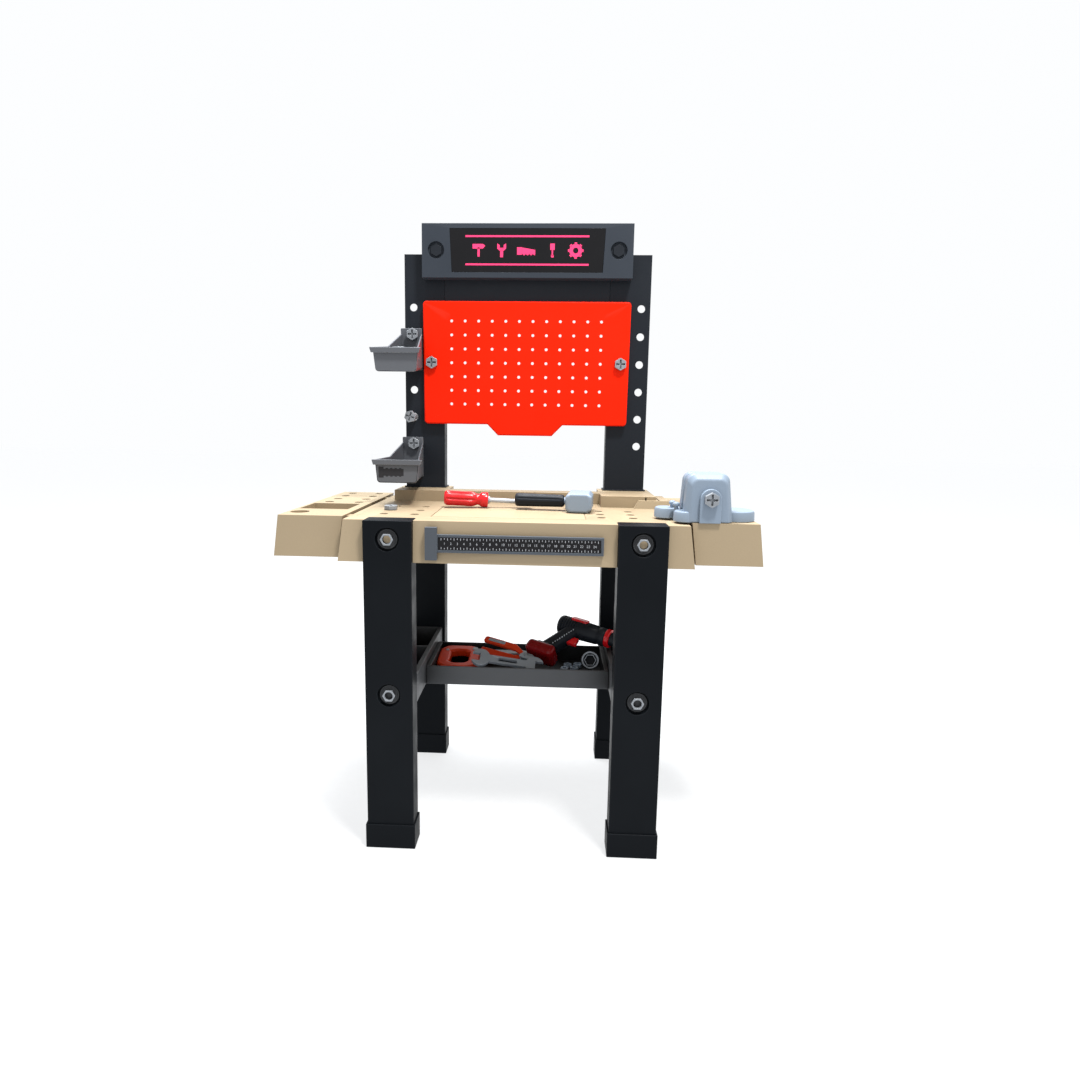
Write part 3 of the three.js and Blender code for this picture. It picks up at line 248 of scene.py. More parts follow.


# Painted light in the materials below: where the edge-highlight strength is above zero, sharp edges get a
# painted highlight; where a recess reach is set, recesses get painted shade.
BLACK = moulded("black_plastic", (0.0075, 0.010, 0.0145), rough=0.42, grain=700.0, depth=0.35, shine=0.14)
# The legs and feet: a darker copy of the black plastic, as painted shade for the less lit legs, with a
# painted highlight on their edges.
SHADED_LEG_BLACK = moulded("leg_plastic_painted_shade", (0.0033, 0.0045, 0.0062), rough=0.42, grain=700.0, depth=0.35, cloud=0.2,
              edge_highlight=0.8, shine=0.06, rim=3.0, edge=1.6)
HEADER = moulded("header_plastic", (0.022, 0.028, 0.038), rough=0.5, grain=700.0, depth=0.3, shine=0.16)
LABEL = moulded("label_film", (0.003, 0.003, 0.004), rough=0.22, depth=0.02, shine=0.12)
PRINT = moulded("pink_print", (0.75, 0.035, 0.14), rough=0.35, depth=0.02, shine=0.2)
WHITE = moulded("white_print", (0.30, 0.31, 0.33), depth=0.02)
BOARD = moulded("board_plastic", (0.74, 0.013, 0.0003), rough=0.42, grain=500.0, depth=0.12, cloud=0.05,
                shine=0.05)
BEIGE = moulded("worktop_plastic", (0.275, 0.215, 0.138), rough=0.5, grain=700.0, depth=0.3, cloud=0.06,
                shine=0.2)
GREY = moulded("grey_plastic", (0.20, 0.222, 0.25), rough=0.36, edge_highlight=0.6, rim=2.2)
# The toy screws: a painted highlight on their edges and painted shade in their cross slots.
STEEL = moulded("bright_screw", (0.20, 0.215, 0.235), rough=0.28, depth=0.08, edge_highlight=1.0, shade_reach=3.0, rim=4.0,
                edge=0.45)
SQUARE = moulded("square_plastic", (0.058, 0.067, 0.080), rough=0.36, edge_highlight=0.7, shine=0.2, rim=3.0, edge=0.7)
# Painted shade deep in its recesses, such as inside the shelf tray, and a painted highlight on its edges.
SHELF = moulded("shelf_plastic", (0.060, 0.063, 0.068), rough=0.45, edge_highlight=0.5, shine=0.15, shade_reach=60.0,
                rim=1.6)
VISE = moulded("vise_plastic", (0.185, 0.233, 0.296), rough=0.36, depth=0.12, cloud=0.05, edge_highlight=0.6, rim=1.7,
               edge=1.2)
SILVER = moulded("silver_plastic", (0.30, 0.32, 0.35), rough=0.26, depth=0.06, edge_highlight=0.5, rim=2.0)
RED = moulded("red_plastic", (0.50, 0.003, 0.007), rough=0.22, depth=0.05, shine=0.4)
DEEP_RED = moulded("battery_red", (0.16, 0.0015, 0.003), rough=0.25, depth=0.05, shine=0.2)
ORANGE = moulded("orange_plastic", (0.50, 0.030, 0.003), rough=0.36, shine=0.2, edge_highlight=0.6, rim=1.6)
BIN = moulded("bin_plastic", (0.090, 0.096, 0.109), rough=0.36, edge_highlight=0.9, shine=0.2, rim=4.0, edge=0.8)
INK = moulded("dark_ink", (0.012, 0.012, 0.015), rough=0.5, depth=0.05, shine=0.2)
BY_SLOT = {
    "black": BLACK, "header": HEADER, "label": LABEL, "board": BOARD, "beige": BEIGE,
    "grey": GREY, "shelf": SHELF, "vise": VISE, "red": RED, "orange": ORANGE, "bin": BIN,
}


# ---- pieces ----
WELD = 2e-6
COPLANAR = 0.004
SHARP = math.radians(38)


def link(obj):
    bpy.context.scene.collection.objects.link(obj)
    return obj


def body_of_node(node):
    return NODES[node]["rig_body"]


def soften(obj, width, segments):
    """Rounds the sharp edges by a width in mm and shades the rest smooth."""
    for polygon in obj.data.polygons:
        polygon.use_smooth = True
    obj.data.set_sharp_from_angle(angle=SHARP)
    if width > 0:
        bevel = obj.modifiers.new("round", "BEVEL")
        bevel.width = width * MM
        bevel.segments = segments
        bevel.limit_method = "ANGLE"
        bevel.angle_limit = SHARP
        bevel.miter_outer = "MITER_ARC"
        flat = obj.modifiers.new("flat", "WEIGHTED_NORMAL")
        flat.weight = 100
        flat.keep_sharp = True


def finish(name, work, node, material=None, width=0.0, segments=2, stands_in=False):
    """Turns bmesh work in metres into a piece that moves with a node's body, and may stand for the node."""
    mesh = bpy.data.meshes.new(name)
    work.to_mesh(mesh)
    work.free()
    mesh.materials.append(material or BY_SLOT[SLOT_OF[node]])
    obj = link(bpy.data.objects.new(name, mesh))
    soften(obj, width, segments)
    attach(obj, body_of_node(node))
    if stands_in:
        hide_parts(node)


def skin(node, width=1.0, segments=2, material=None, dissolve=True):
    """A clean copy of a CAD node with rounded edges, which stands for it."""
    work = bmesh.new()
    work.from_mesh(NODES[node].data)
    bmesh.ops.remove_doubles(work, verts=work.verts, dist=WELD)
    if dissolve:
        bmesh.ops.dissolve_limit(work, angle_limit=COPLANAR, verts=work.verts, edges=work.edges)
    finish(node + "_skin", work, node, material, width, segments, stands_in=True)


def piece(name, work, node, at, material=None, width=0.0, segments=2, stands_in=False):
    """A piece drawn in millimetres in its own frame and set at a place in the row frame."""
    bmesh.ops.recalc_face_normals(work, faces=work.faces)
    work.transform(at @ Matrix.Scale(MM, 4))
    finish(name, work, node, material, width, segments, stands_in)


def place(point, x=(1, 0, 0), z=(0, 0, 1)):
    """A frame at a point in metres, with its X axis along x and its Z axis as near z as it can be."""
    x = Vector(x).normalized()
    z = Vector(z)
    z = (z - z.dot(x) * x).normalized()
    turn = Matrix((x, z.cross(x), z)).transposed().to_4x4()
    return Matrix.Translation(point) @ turn


def facing_front(x, y, z):
    """A drawing plane at a point in mm: its X to the right, its Y up, and its Z towards the viewer."""
    return place((x * MM, y * MM, z * MM), (1, 0, 0), (0, -1, 0))


# ---- outlines and solids, in millimetres ----
FLUTE_POWER = 1.5
AXIS_ROUNDS = 40


def angles(sides):
    return [TAU * i / sides for i in range(sides)]


def circle(radius, sides=32, centre=(0, 0)):
    return [(centre[0] + radius * math.cos(a), centre[1] + radius * math.sin(a)) for a in angles(sides)]


def rounded(width, height, radius, steps=6, centre=(0, 0)):
    """A rectangle with round corners, centred on a point."""
    points = []
    for k, (side, end) in enumerate(((1, 1), (-1, 1), (-1, -1), (1, -1))):
        x = centre[0] + side * (width / 2 - radius)
        y = centre[1] + end * (height / 2 - radius)
        for i in range(steps + 1):
            angle = (k + i / steps) * math.pi / 2
            points.append((x + radius * math.cos(angle), y + radius * math.sin(angle)))
    return points


def bar(start, end, width):
    """The four corners of a straight stroke between two points."""
    along = Vector((end[0] - start[0], end[1] - start[1])).normalized() * 0.5 * width
    x, y = -along.y, along.x
    return [(p[0] + s * x, p[1] + s * y) for p, s in ((start, -1), (end, -1), (end, 1), (start, 1))]


def between(first, second, steps):
    """Points from first towards second, without the last one."""
    return [
        (first[0] + (second[0] - first[0]) * i / steps, first[1] + (second[1] - first[1]) * i / steps)
        for i in range(steps)
    ]


def divided(corners, counts):
    """A closed outline, with each of its sides cut into a number of steps."""
    points = []
    for k, count in enumerate(counts):
        points += between(corners[k], corners[(k + 1) % len(corners)], count)
    return points


def mirrored(outline, side):
    return [(x, side * y) for x, y in outline]


def standing(outline, y):
    """An outline of (x, z) pairs as 3D points at one depth."""
    return [(x, y, z) for x, z in outline]


def prism(work, outline, low, high):
    """A prism of a flat outline, from z = low to z = high."""
    base = [work.verts.new((x, y, low)) for x, y in outline]
    top = [work.verts.new((x, y, high)) for x, y in outline]
    work.faces.new(base[::-1])
    work.faces.new(top)
    for i in range(len(outline)):
        j = (i + 1) % len(outline)
        work.faces.new((base[i], base[j], top[j], top[i]))


def join_rings(work, rings, closed=False):
    """Quads between neighbouring rings of 3D points; closed joins the last ring to the first."""
    made = [[work.verts.new(point) for point in ring] for ring in rings]
    pairs = list(zip(made, made[1:]))
    if closed:
        pairs.append((made[-1], made[0]))
    for first, second in pairs:
        count = len(first)
        for i in range(count):
            j = (i + 1) % count
            work.faces.new((first[i], first[j], second[j], second[i]))
    return made


def frame_prism(work, outer, inner, low, high):
    """A prism between two outlines with as many points each."""
    levels = ((outer, low), (outer, high), (inner, high), (inner, low))
    join_rings(work, [[(x, y, z) for x, y in outline] for outline, z in levels], closed=True)


def loft(work, rings):
    """A closed solid through rings of 3D points."""
    made = join_rings(work, rings)
    work.faces.new(made[0][::-1])
    work.faces.new(made[-1])


def turned(work, profile, sides=32, flutes=0, depth=0.0, span=(0, 0)):
    """A turned solid along X from (distance, radius) pairs, with lengthwise flutes in a span."""
    rings = []
    for along, radius in profile:
        fluted = flutes and span[0] <= along <= span[1]
        ring = []
        for angle in angles(sides):
            cut = depth * max(0.0, math.cos(flutes * angle)) ** FLUTE_POWER if fluted else 0.0
            reach = radius - cut
            ring.append((along, reach * math.cos(angle), reach * math.sin(angle)))
        rings.append(ring)
    loft(work, rings)


def long_axis(node):
    """The start point of a long node and the direction it runs in, towards +X, in metres."""
    points = [vertex.co.copy() for vertex in NODES[node].data.vertices]
    centre = sum(points, Vector()) / len(points)
    axis = Vector((1, 0, 0))
    for _ in range(AXIS_ROUNDS):
        spread = Vector()
        for point in points:
            offset = point - centre
            spread += offset.dot(axis) * offset
        axis = spread.normalized()
    start = min((point - centre).dot(axis) for point in points)
    return centre + start * axis, axis


# ---- the bench itself ----
def add_bench():
    """Rounded skins of the bench's own mouldings and of its toy screws."""
    for end in ENDS:
        for side in SIDES:
            skin(f"leg_{end}_{side}", width=1.6, segments=3, material=SHADED_LEG_BLACK, dissolve=False)
            skin(f"foot_{end}_{side}", width=1.6, segments=3, material=SHADED_LEG_BLACK)
    skin("worktop", width=0.9, dissolve=False)
    skin("wing_left", width=0.9, dissolve=False)
    skin("wing_right")
    for side in SIDES:
        skin(f"upright_{side}", dissolve=False)
        skin(f"shelf_box_{side}", width=0.9)
        skin(f"header_plug_{side}", width=0.5)
        skin_screw(f"board_screw_{side}")
    skin("crossbar", width=0.8)
    skin("header", width=1.2, segments=3)
    skin("header_label", width=0.3)
    skin("shelf_tray", width=0.9)
    for node in ("spare_screw", "table_screw", "stored_screw", "bin_screw_upper", "bin_screw_lower"):
        skin_screw(node)


def skin_screw(node):
    skin(node, width=0.5, material=STEEL, dissolve=False)


# ---- pegboard ----
PEGS = {"columns": 12, "rows": 7, "half": 139, "z": (707.5, 860), "radius": 2.7, "edge": 0.45, "soft": 0.3}
PER_CELL = 4
BOARD_SHAPE = {"z": (670, 896), "top": 193, "base": 191, "corner": 7, "plate": 3, "wall": 3}
BOARD_TAB = {"z": 649.5, "half": 71, "base": 51}
BOARD_RIM = {"radius": 3, "turns": (0, 0.35, 0.7, 1.05, 1.35, math.pi / 2), "flat": 0.8, "back": 0.5}
BOARD_BOSS = {"outer": 12, "inner": 7.1, "sink": 0.5}
TOUCH = 0.01


def eased(count):
    """Numbers from -1 to 1 that crowd towards both ends."""
    return [math.sin((2 * i / count - 1) * math.pi / 2) for i in range(count + 1)]


def board_half(share):
    """Half the board's width at a share of its height."""
    return BOARD_SHAPE["base"] + share * (BOARD_SHAPE["top"] - BOARD_SHAPE["base"])


def board_edge():
    """The board's outline, counter-clockwise from its lower left corner, one point per cell point."""
    low, high = BOARD_SHAPE["z"]
    across, up = PEGS["columns"] * PER_CELL, PEGS["rows"] * PER_CELL
    base = [[BOARD_SHAPE["base"] * t, low] for t in eased(across)]
    for kink in (BOARD_TAB["half"], BOARD_TAB["base"]):
        for side in (-1, 1):
            min(base, key=lambda point: abs(point[0] - side * kink))[0] = side * kink
    span = BOARD_TAB["half"] - BOARD_TAB["base"]
    for point in base:
        down = min(1.0, max(0.0, (BOARD_TAB["half"] - abs(point[0])) / span))
        point[1] = low + down * (BOARD_TAB["z"] - low)
    shares = [(t + 1) / 2 for t in eased(up)]
    right = [[board_half(share), low + share * (high - low)] for share in shares]
    top = [[BOARD_SHAPE["top"] * t, high] for t in reversed(eased(across))]
    left = [[-x, z] for x, z in reversed(right)]
    points = base[:-1] + right[:-1] + top[:-1] + left[:-1]
    return [rounded_off(point, low, high, BOARD_SHAPE["corner"]) for point in points]


def rounded_off(point, low, high, radius):
    """Moves a point of the outline that is near a corner onto the corner's arc."""
    x, z = point
    half = board_half((z - low) / (high - low))
    from_side = half - abs(x)
    from_end = min(abs(z - low), abs(high - z))
    if max(from_side, from_end) >= radius or z < low - TOUCH:
        return (x, z)
    turn = math.pi / 4 * (1 + (from_end - from_side) / radius)
    centre_x = math.copysign(half - radius, x)
    up = z > (low + high) / 2
    centre_z = high - radius if up else low + radius
    rise = radius * math.cos(turn)
    return (centre_x + math.copysign(radius * math.sin(turn), x), centre_z + (rise if up else -rise))


def inset(points, distance):
    """Moves every point of a counter-clockwise outline inwards."""
    moved = []
    for i, (x, y) in enumerate(points):
        before, after = points[i - 1], points[(i + 1) % len(points)]
        along = Vector((after[0] - before[0], after[1] - before[1])).normalized()
        moved.append((x - along.y * distance, y + along.x * distance))
    return moved


def grid_edge(half_x, low_z, high_z):
    """The points round the block of holes, in the same order as the board's outline."""
    corners = [(-half_x, low_z), (half_x, low_z), (half_x, high_z), (-half_x, high_z)]
    return divided(corners, [PEGS["columns"] * PER_CELL, PEGS["rows"] * PER_CELL] * 2)


def add_hole_cell(work, centre, half_x, half_z, plate):
    """One square of the board with a round hole through it and a softened rim."""
    square = divided([(-1, -1), (1, -1), (1, 1), (-1, 1)], [PER_CELL] * 4)
    square = [(centre[0] + x * half_x, centre[1] + z * half_z) for x, z in square]
    turns = [math.atan2(z - centre[1], x - centre[0]) for x, z in square]
    radius, edge, soft = PEGS["radius"], PEGS["edge"], PEGS["edge"] * PEGS["soft"]
    levels = [(radius + 3 * edge, 0), (radius + edge, 0), (radius + soft, -soft), (radius, -edge)]
    levels += [(reach, -plate - level) for reach, level in reversed(levels)]
    rings = [[(x, z, 0) for x, z in square]]
    x, z = centre
    for reach, level in levels:
        rings.append([(x + reach * math.cos(a), z + reach * math.sin(a), level) for a in turns])
    rings.append([(x, z, -plate) for x, z in square])
    join_rings(work, rings)


def add_pegboard():
    """A hollow-backed board with a rounded rim, rows of small holes and a boss round each of its screws."""
    low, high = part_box("pegboard")
    depth = (high.y - low.y) / MM
    at = facing_front(0, low.y / MM, 0)
    add_board_panel(depth, at)
    bosses = bmesh.new()
    for side in SIDES:
        x, _, z = (value / MM for value in JOINTS[f"board_screw_{side}_turn"]["pos_m"])
        outer, inner = circle(BOARD_BOSS["outer"], 32, (x, z)), circle(BOARD_BOSS["inner"], 32, (x, z))
        frame_prism(bosses, outer, inner, -depth, -BOARD_SHAPE["plate"] + BOARD_BOSS["sink"])
    piece("pegboard_bosses", bosses, "pegboard", at, width=0.4)


def add_board_panel(depth, at):
    """A grid of cells with holes, and rings from its edge over the board's rim to the hollow back."""
    plate, wall = BOARD_SHAPE["plate"], BOARD_SHAPE["wall"]
    low_z, high_z = PEGS["z"]
    half_x = PEGS["half"] / (PEGS["columns"] - 1)
    half_z = (high_z - low_z) / (PEGS["rows"] - 1) / 2
    work = bmesh.new()
    for column in range(PEGS["columns"]):
        for row in range(PEGS["rows"]):
            centre = (-PEGS["half"] + 2 * half_x * column, low_z + 2 * half_z * row)
            add_hole_cell(work, centre, half_x, half_z, plate)
    radius, back = BOARD_RIM["radius"], BOARD_RIM["back"]
    path = [(radius + BOARD_RIM["flat"], 0)]
    path += [(radius * (1 - math.sin(a)), -radius * (1 - math.cos(a))) for a in BOARD_RIM["turns"]]
    path += [(0, -depth + back), (back, -depth), (wall, -depth), (wall, -plate)]
    grid = grid_edge(PEGS["half"] + half_x, low_z - half_z, high_z + half_z)
    edge = board_edge()
    rings = [[(x, z, 0) for x, z in grid]]
    rings += [[(x, z, level) for x, z in inset(edge, distance)] for distance, level in path]
    rings.append([(x, z, -plate) for x, z in grid])
    join_rings(work, rings)
    bmesh.ops.remove_doubles(work, verts=work.verts, dist=2 * TOUCH)
    piece("pegboard_panel", work, "pegboard", at, stands_in=True)


# ---- nuts ----
SIDE_STEPS = 4
WASHER = {"thick": 2.4, "groove": 11.2, "crest": 12.6, "shoulder": 13.8, "rise": 0.5, "sides": 40}
NUT = {"bore": 6.5, "radius": 10.0, "sink": 0.2}
SPARE_NUT = {"bore": 4.2, "radius": 8.5, "bottom": 0.2, "top": 7, "floor": 3}
SPARE_NUT_PLACES = ((84, 29, 0.2), (102, 34, 0.7), (90, 49, 0.4), (109, 53, 0.1))


def hexagonal_nut(work, radius, bore, low, high):
    """A hexagonal nut with a round bore, from z = low to z = high."""
    hexagon = divided(circle(radius, 6), [SIDE_STEPS] * 6)
    frame_prism(work, hexagon, circle(bore, len(hexagon)), low, high)


def add_leg_nut(node):
    """A wide dished washer and a hexagonal nut, round an open bore."""
    low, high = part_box(node)
    facing = -1 if low.y < 0 else 1
    centre = (low + high) / 2
    centre.y = low.y if facing < 0 else high.y
    depth = (high.y - low.y) / MM
    rim = (high.x - low.x) / MM / 2
    bore, start, rise = NUT["bore"], depth - WASHER["thick"], WASHER["rise"]
    profile = [
        (depth, bore), (start, bore), (start, WASHER["groove"]), (start + rise, WASHER["crest"]),
        (start, WASHER["shoulder"]), (start, rim - rise), (start + rise, rim), (depth, rim),
    ]
    turns = angles(WASHER["sides"])
    washer = bmesh.new()
    rings = [[(along, r * math.cos(a), r * math.sin(a)) for a in turns] for along, r in profile]
    join_rings(washer, rings, closed=True)
    at = place(centre, (0, -facing, 0), (0, 0, 1))
    piece(node + "_washer", washer, node, at, SHELF, stands_in=True)
    height = start + NUT["sink"]
    nut = bmesh.new()
    hexagonal_nut(nut, NUT["radius"], bore, 0, height)
    at = place(centre, (1, 0, 0), (0, -facing, 0)) @ Matrix.Translation((0, 0, -height * MM))
    piece(node + "_hex", nut, node, at, STEEL, width=0.7, segments=3)


def add_leg_nuts():
    for end in ENDS:
        for side in SIDES:
            for level in ("upper", "lower"):
                add_leg_nut(f"leg_nut_{end}_{side}_{level}")


def add_spare_nuts():
    """Small loose nuts that lie on the floor of the shelf tray."""
    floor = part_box("shelf_tray")[0].z + SPARE_NUT["floor"] * MM
    for k, (x, y, turn) in enumerate(SPARE_NUT_PLACES):
        work = bmesh.new()
        hexagonal_nut(work, SPARE_NUT["radius"], SPARE_NUT["bore"], SPARE_NUT["bottom"], SPARE_NUT["top"])
        at = Matrix.Translation((x * MM, y * MM, floor)) @ Matrix.Rotation(turn, 4, "Z")
        piece(f"loose_nut_{k}", work, "shelf_tray", at, VISE, width=0.7, segments=3)


# ---- prints ----
FILM = 0.15
STRIPE = {"half": 112, "y": 24.5, "width": 3.2}
GEAR = {"x": 88, "radius": 11.5, "hole": 5, "root": 11, "tip": 14, "teeth": 8, "width": 4.5}
RULER = {"numbers": 24, "text": 5.2, "left": 5, "right": 4, "inset": 1.0}
TICK = {"width": 0.8, "long": 3.4, "short": 2.2}


def hammer_icon(x):
    return [bar((x, -11), (x, 5), 4), [(x - 11, 3), (x + 8, 3), (x + 12, 8), (x + 8, 11), (x - 11, 11)]]


def wrench_icon(x):
    jaw = [
        (x - 8, 12), (x - 8, 3), (x - 3, -1), (x + 3, -1), (x + 8, 3), (x + 8, 12),
        (x + 3.5, 9), (x + 3.5, 4.5), (x - 3.5, 4.5), (x - 3.5, 9),
    ]
    return [jaw, bar((x, -12), (x, -0.5), 5.5)]


def driver_icon(x):
    return [bar((x, 1), (x, 12), 8), bar((x, -9), (x, 1.2), 2.6), bar((x, -12), (x, -8), 4.6)]


def saw_icon(x):
    teeth = [(x + 14 - 3.2 * k, -6 if k % 2 else -9) for k in range(8)]
    blade = [(x - 9, 5), (x + 15, 1), (x + 15, -6), *teeth, (x - 9, -6)]
    return [blade, bar((x - 18, -1), (x - 9.2, -1), 13)]


ICONS = ((hammer_icon, -88), (wrench_icon, -46), (saw_icon, 0), (driver_icon, 46))


def add_gear_sign(work):
    """A ring with square teeth round it."""
    x = GEAR["x"]
    frame_prism(work, circle(GEAR["radius"], 24, (x, 0)), circle(GEAR["hole"], 24, (x, 0)), 0.0, FILM)
    for turn in angles(GEAR["teeth"]):
        start, end = (
            (x + reach * math.cos(turn), reach * math.sin(turn)) for reach in (GEAR["root"], GEAR["tip"])
        )
        prism(work, bar(start, end, GEAR["width"]), 0.0, FILM)


def add_label_print():
    """Two stripes and a row of plain tool signs on the header's label."""
    low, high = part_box("header_label")
    at = facing_front(0, low.y / MM, (low.z + high.z) / MM / 2)
    work = bmesh.new()
    for y in (-STRIPE["y"], STRIPE["y"]):
        prism(work, bar((-STRIPE["half"], y), (STRIPE["half"], y), STRIPE["width"]), 0.0, FILM)
    for icon, x in ICONS:
        for shape in icon(x):
            prism(work, shape, 0.0, FILM)
    add_gear_sign(work)
    piece("label_print", work, "header_label", at, PRINT)


def add_ruler_print():
    """Long and short ticks on both edges of the T-square's scale, and plain numbers between them."""
    low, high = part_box("square_scale")
    front = low.y / MM
    left, right = low.x / MM + RULER["left"], high.x / MM - RULER["right"]
    centre = (low.z + high.z) / MM / 2
    edge = (high.z - low.z) / MM / 2 - RULER["inset"]
    count = RULER["numbers"]
    work = bmesh.new()
    for i in range(2 * count + 1):
        x = left + (right - left) * i / (2 * count)
        reach = TICK["short"] if i % 2 else TICK["long"]
        for side in (1, -1):
            prism(work, bar((x, side * edge), (x, side * (edge - reach)), TICK["width"]), 0.0, FILM)
    piece("ruler_ticks", work, "square_scale", facing_front(0, front, centre), WHITE)
    for i in range(count):
        x = left + (right - left) * (i + 0.5) / count
        add_number(i + 1, facing_front(x, front - FILM / 2, centre))


def add_number(number, at):
    """A printed number that rides on the T-square's scale."""
    name = f"ruler_number_{number}"
    text = bpy.data.curves.new(name, "FONT")
    text.body = str(number)
    text.size = RULER["text"] * MM
    text.extrude = FILM * MM / 2
    text.align_x, text.align_y = "CENTER", "CENTER"
    text.materials.append(WHITE)
    holder = link(bpy.data.objects.new(name, text))
    holder.matrix_world = at
    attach(holder, body_of_node("square_scale"))


def add_square():
    skin("square_frame", width=0.8, segments=3, material=SQUARE)
    skin("square_scale", width=0.2, segments=1)
    add_ruler_print()


# ---- vise ----
JAW = {"depth": 26, "slot": 6, "inset": (7, 9), "chamfer": 8, "deck": 16, "gap": 0.3}
JAW_SIDES = {"left": -0.8, "right": 1.7, "lean": (3, 6.5), "radius": 13, "steps": 8}
VISE_FEET = ((236, -92.8, 19), (258, -136.8, 18), (338, -112.8, 30))
VISE_FLOOR = {"x": (253.5, 327), "rear": 92, "slide": (260.2, 296.8), "depth": 8}
VISE_RIB = {"x": 290.5, "z": 566, "half": 15.8, "proud": 6, "sink": 1.0, "sides": 32}
VISE_KNOBS = ((245.5, -90.8, 8), (246.5, -119.8, 9))
KNOB = {"radius": 5.5, "neck": 0.6, "shoulder": 0.9, "squash": 0.6, "turns": (0, 0.5, 0.9, 1.25, 1.5)}


def jaw_rings(outline, base, front_chamfer):
    """Rings of a jaw from its front to its back, chamfered at its front or at its back."""
    xs = [x for x, z in outline]
    centre = (min(xs) + max(xs)) / 2
    top = max(z for x, z in outline)
    squeeze_x = 1 - 2 * JAW["inset"][0] / (max(xs) - min(xs))
    squeeze_z = 1 - JAW["inset"][1] / (top - base)
    small = [(centre + (x - centre) * squeeze_x, base + (z - base) * squeeze_z) for x, z in outline]
    if front_chamfer:
        steps = [(0, small), (JAW["chamfer"], outline), (JAW["depth"], outline)]
    else:
        steps = [(0, outline), (JAW["depth"] - JAW["chamfer"], outline), (JAW["depth"], small)]
    return [standing(points, y) for y, points in steps]


def jaw_outline(base):
    """Half-round shoulders on sides that lean in."""
    low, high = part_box("vise_jaw")
    left, right, top = low.x / MM + JAW_SIDES["left"], high.x / MM + JAW_SIDES["right"], high.z / MM
    (lean_left, lean_right), radius, steps = JAW_SIDES["lean"], JAW_SIDES["radius"], JAW_SIDES["steps"]
    points = [(left, base), (right, base)]
    for start, x in ((0, right - lean_right - radius), (1, left + lean_left + radius)):
        for i in range(steps + 1):
            angle = (start + i / steps) * math.pi / 2
            points.append((x + radius * math.cos(angle), top - radius + radius * math.sin(angle)))
    return points


def add_vise():
    """The floor with its fixed jaw, rib and knobs, the moving jaw, and the screw."""
    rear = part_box("vise_jaw")[0].y / MM
    front = rear - JAW["depth"] - JAW["slot"]
    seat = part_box("vise_base")[0].z / MM
    deck = seat + JAW["deck"]
    add_vise_deck(front, seat, deck)
    add_jaw("vise_front_jaw", "vise_base", front, seat, front_chamfer=True)
    add_jaw("vise_rear_jaw", "vise_jaw", rear, deck + JAW["gap"], front_chamfer=False)
    add_vise_rib(front, seat)
    add_vise_knobs(deck)
    skin_screw("vise_screw")


def add_jaw(name, node, y, base, front_chamfer):
    work = bmesh.new()
    loft(work, jaw_rings(jaw_outline(base), base, front_chamfer))
    at = Matrix.Translation((0, y * MM, 0))
    piece(name, work, node, at, width=2.2, segments=4, stands_in=node == "vise_jaw")


def add_vise_deck(front, seat, deck):
    """The floor of the vise, with the slide for its moving jaw, and three round feet."""
    (left, right), (inner, outer) = VISE_FLOOR["x"], VISE_FLOOR["slide"]
    step = deck - VISE_FLOOR["depth"]
    channel = [
        (left, seat), (right, seat), (right, deck), (outer, deck),
        (outer, step), (inner, step), (inner, deck), (left, deck),
    ]
    work = bmesh.new()
    prism(work, channel, -VISE_FLOOR["rear"], -JAW["depth"])
    at = facing_front(0, front, 0)
    piece("vise_deck", work, "vise_base", at, width=1.6, segments=3, stands_in=True)
    for k, (x, y, radius) in enumerate(VISE_FEET):
        foot = bmesh.new()
        profile = [
            (seat, radius - 0.6), (seat + 0.8, radius), (deck - 4, radius - 0.5), (deck - 1.2, radius - 1.4),
            (deck, radius - 3.4), (deck, radius - 4.6), (deck - 1.6, radius - 7.5), (deck - 1.8, 1),
        ]
        turned(foot, profile, sides=56)
        piece(f"vise_foot_{k}", foot, "vise_base", place((x * MM, y * MM, 0), (0, 0, 1), (1, 0, 0)))


def add_vise_rib(front, seat):
    """The arched plate on the fixed jaw, behind the head of the screw."""
    half, sides = VISE_RIB["half"], VISE_RIB["sides"]
    height = VISE_RIB["z"] - seat
    outline = [(-half, 0), (half, 0)]
    outline += [(half * math.cos(a), height + half * math.sin(a)) for a in angles(sides)[:sides // 2 + 1]]
    work = bmesh.new()
    prism(work, outline, -VISE_RIB["sink"], VISE_RIB["proud"])
    at = facing_front(VISE_RIB["x"], front, seat)
    piece("vise_rib", work, "vise_base", at, width=1.2, segments=3)


def add_vise_knobs(deck):
    """Two pegs with domed tops beside the jaws."""
    radius = KNOB["radius"]
    for k, (x, y, height) in enumerate(VISE_KNOBS):
        work = bmesh.new()
        neck, shoulder = radius * KNOB["neck"], radius * KNOB["shoulder"]
        profile = [(0, neck), (height - 4, neck), (height - 3, shoulder)]
        for turn in KNOB["turns"]:
            profile.append((height + radius * math.sin(turn) * KNOB["squash"], radius * math.cos(turn)))
        turned(work, profile, sides=20)
        at = place((x * MM, y * MM, (deck - 1) * MM), (0, 0, 1), (1, 0, 0))
        piece(f"vise_knob_{k}", work, "vise_base", at)


# ---- bins ----
BIN_SHAPE = {"x": -215.5, "wall": 2.5, "height": 76.5, "screw": 64.5, "corner": 6, "half": 20, "steps": 5}
BIN_SLICES = ((-141, 39, 35.5, 40.5), (-79, 28, 28, 42.5), (-4, 20.5, 20.5, 65.5), (0, 20, 20, 66.5))
BIN_LIP = {"z": (31.5, 40.5), "half": 43.5, "base": 41, "front": -146, "rear": -138.5}
BIN_DROOP = {"upper": 0.09, "lower": 0.0}
BIN_SIGN = {"head": ((-28, 9), (-28, 28), 9), "start": -21.6, "step": 3.9, "width": 4, "bars": 9,
            "spans": ((12.4, 24.6), (11, 26))}


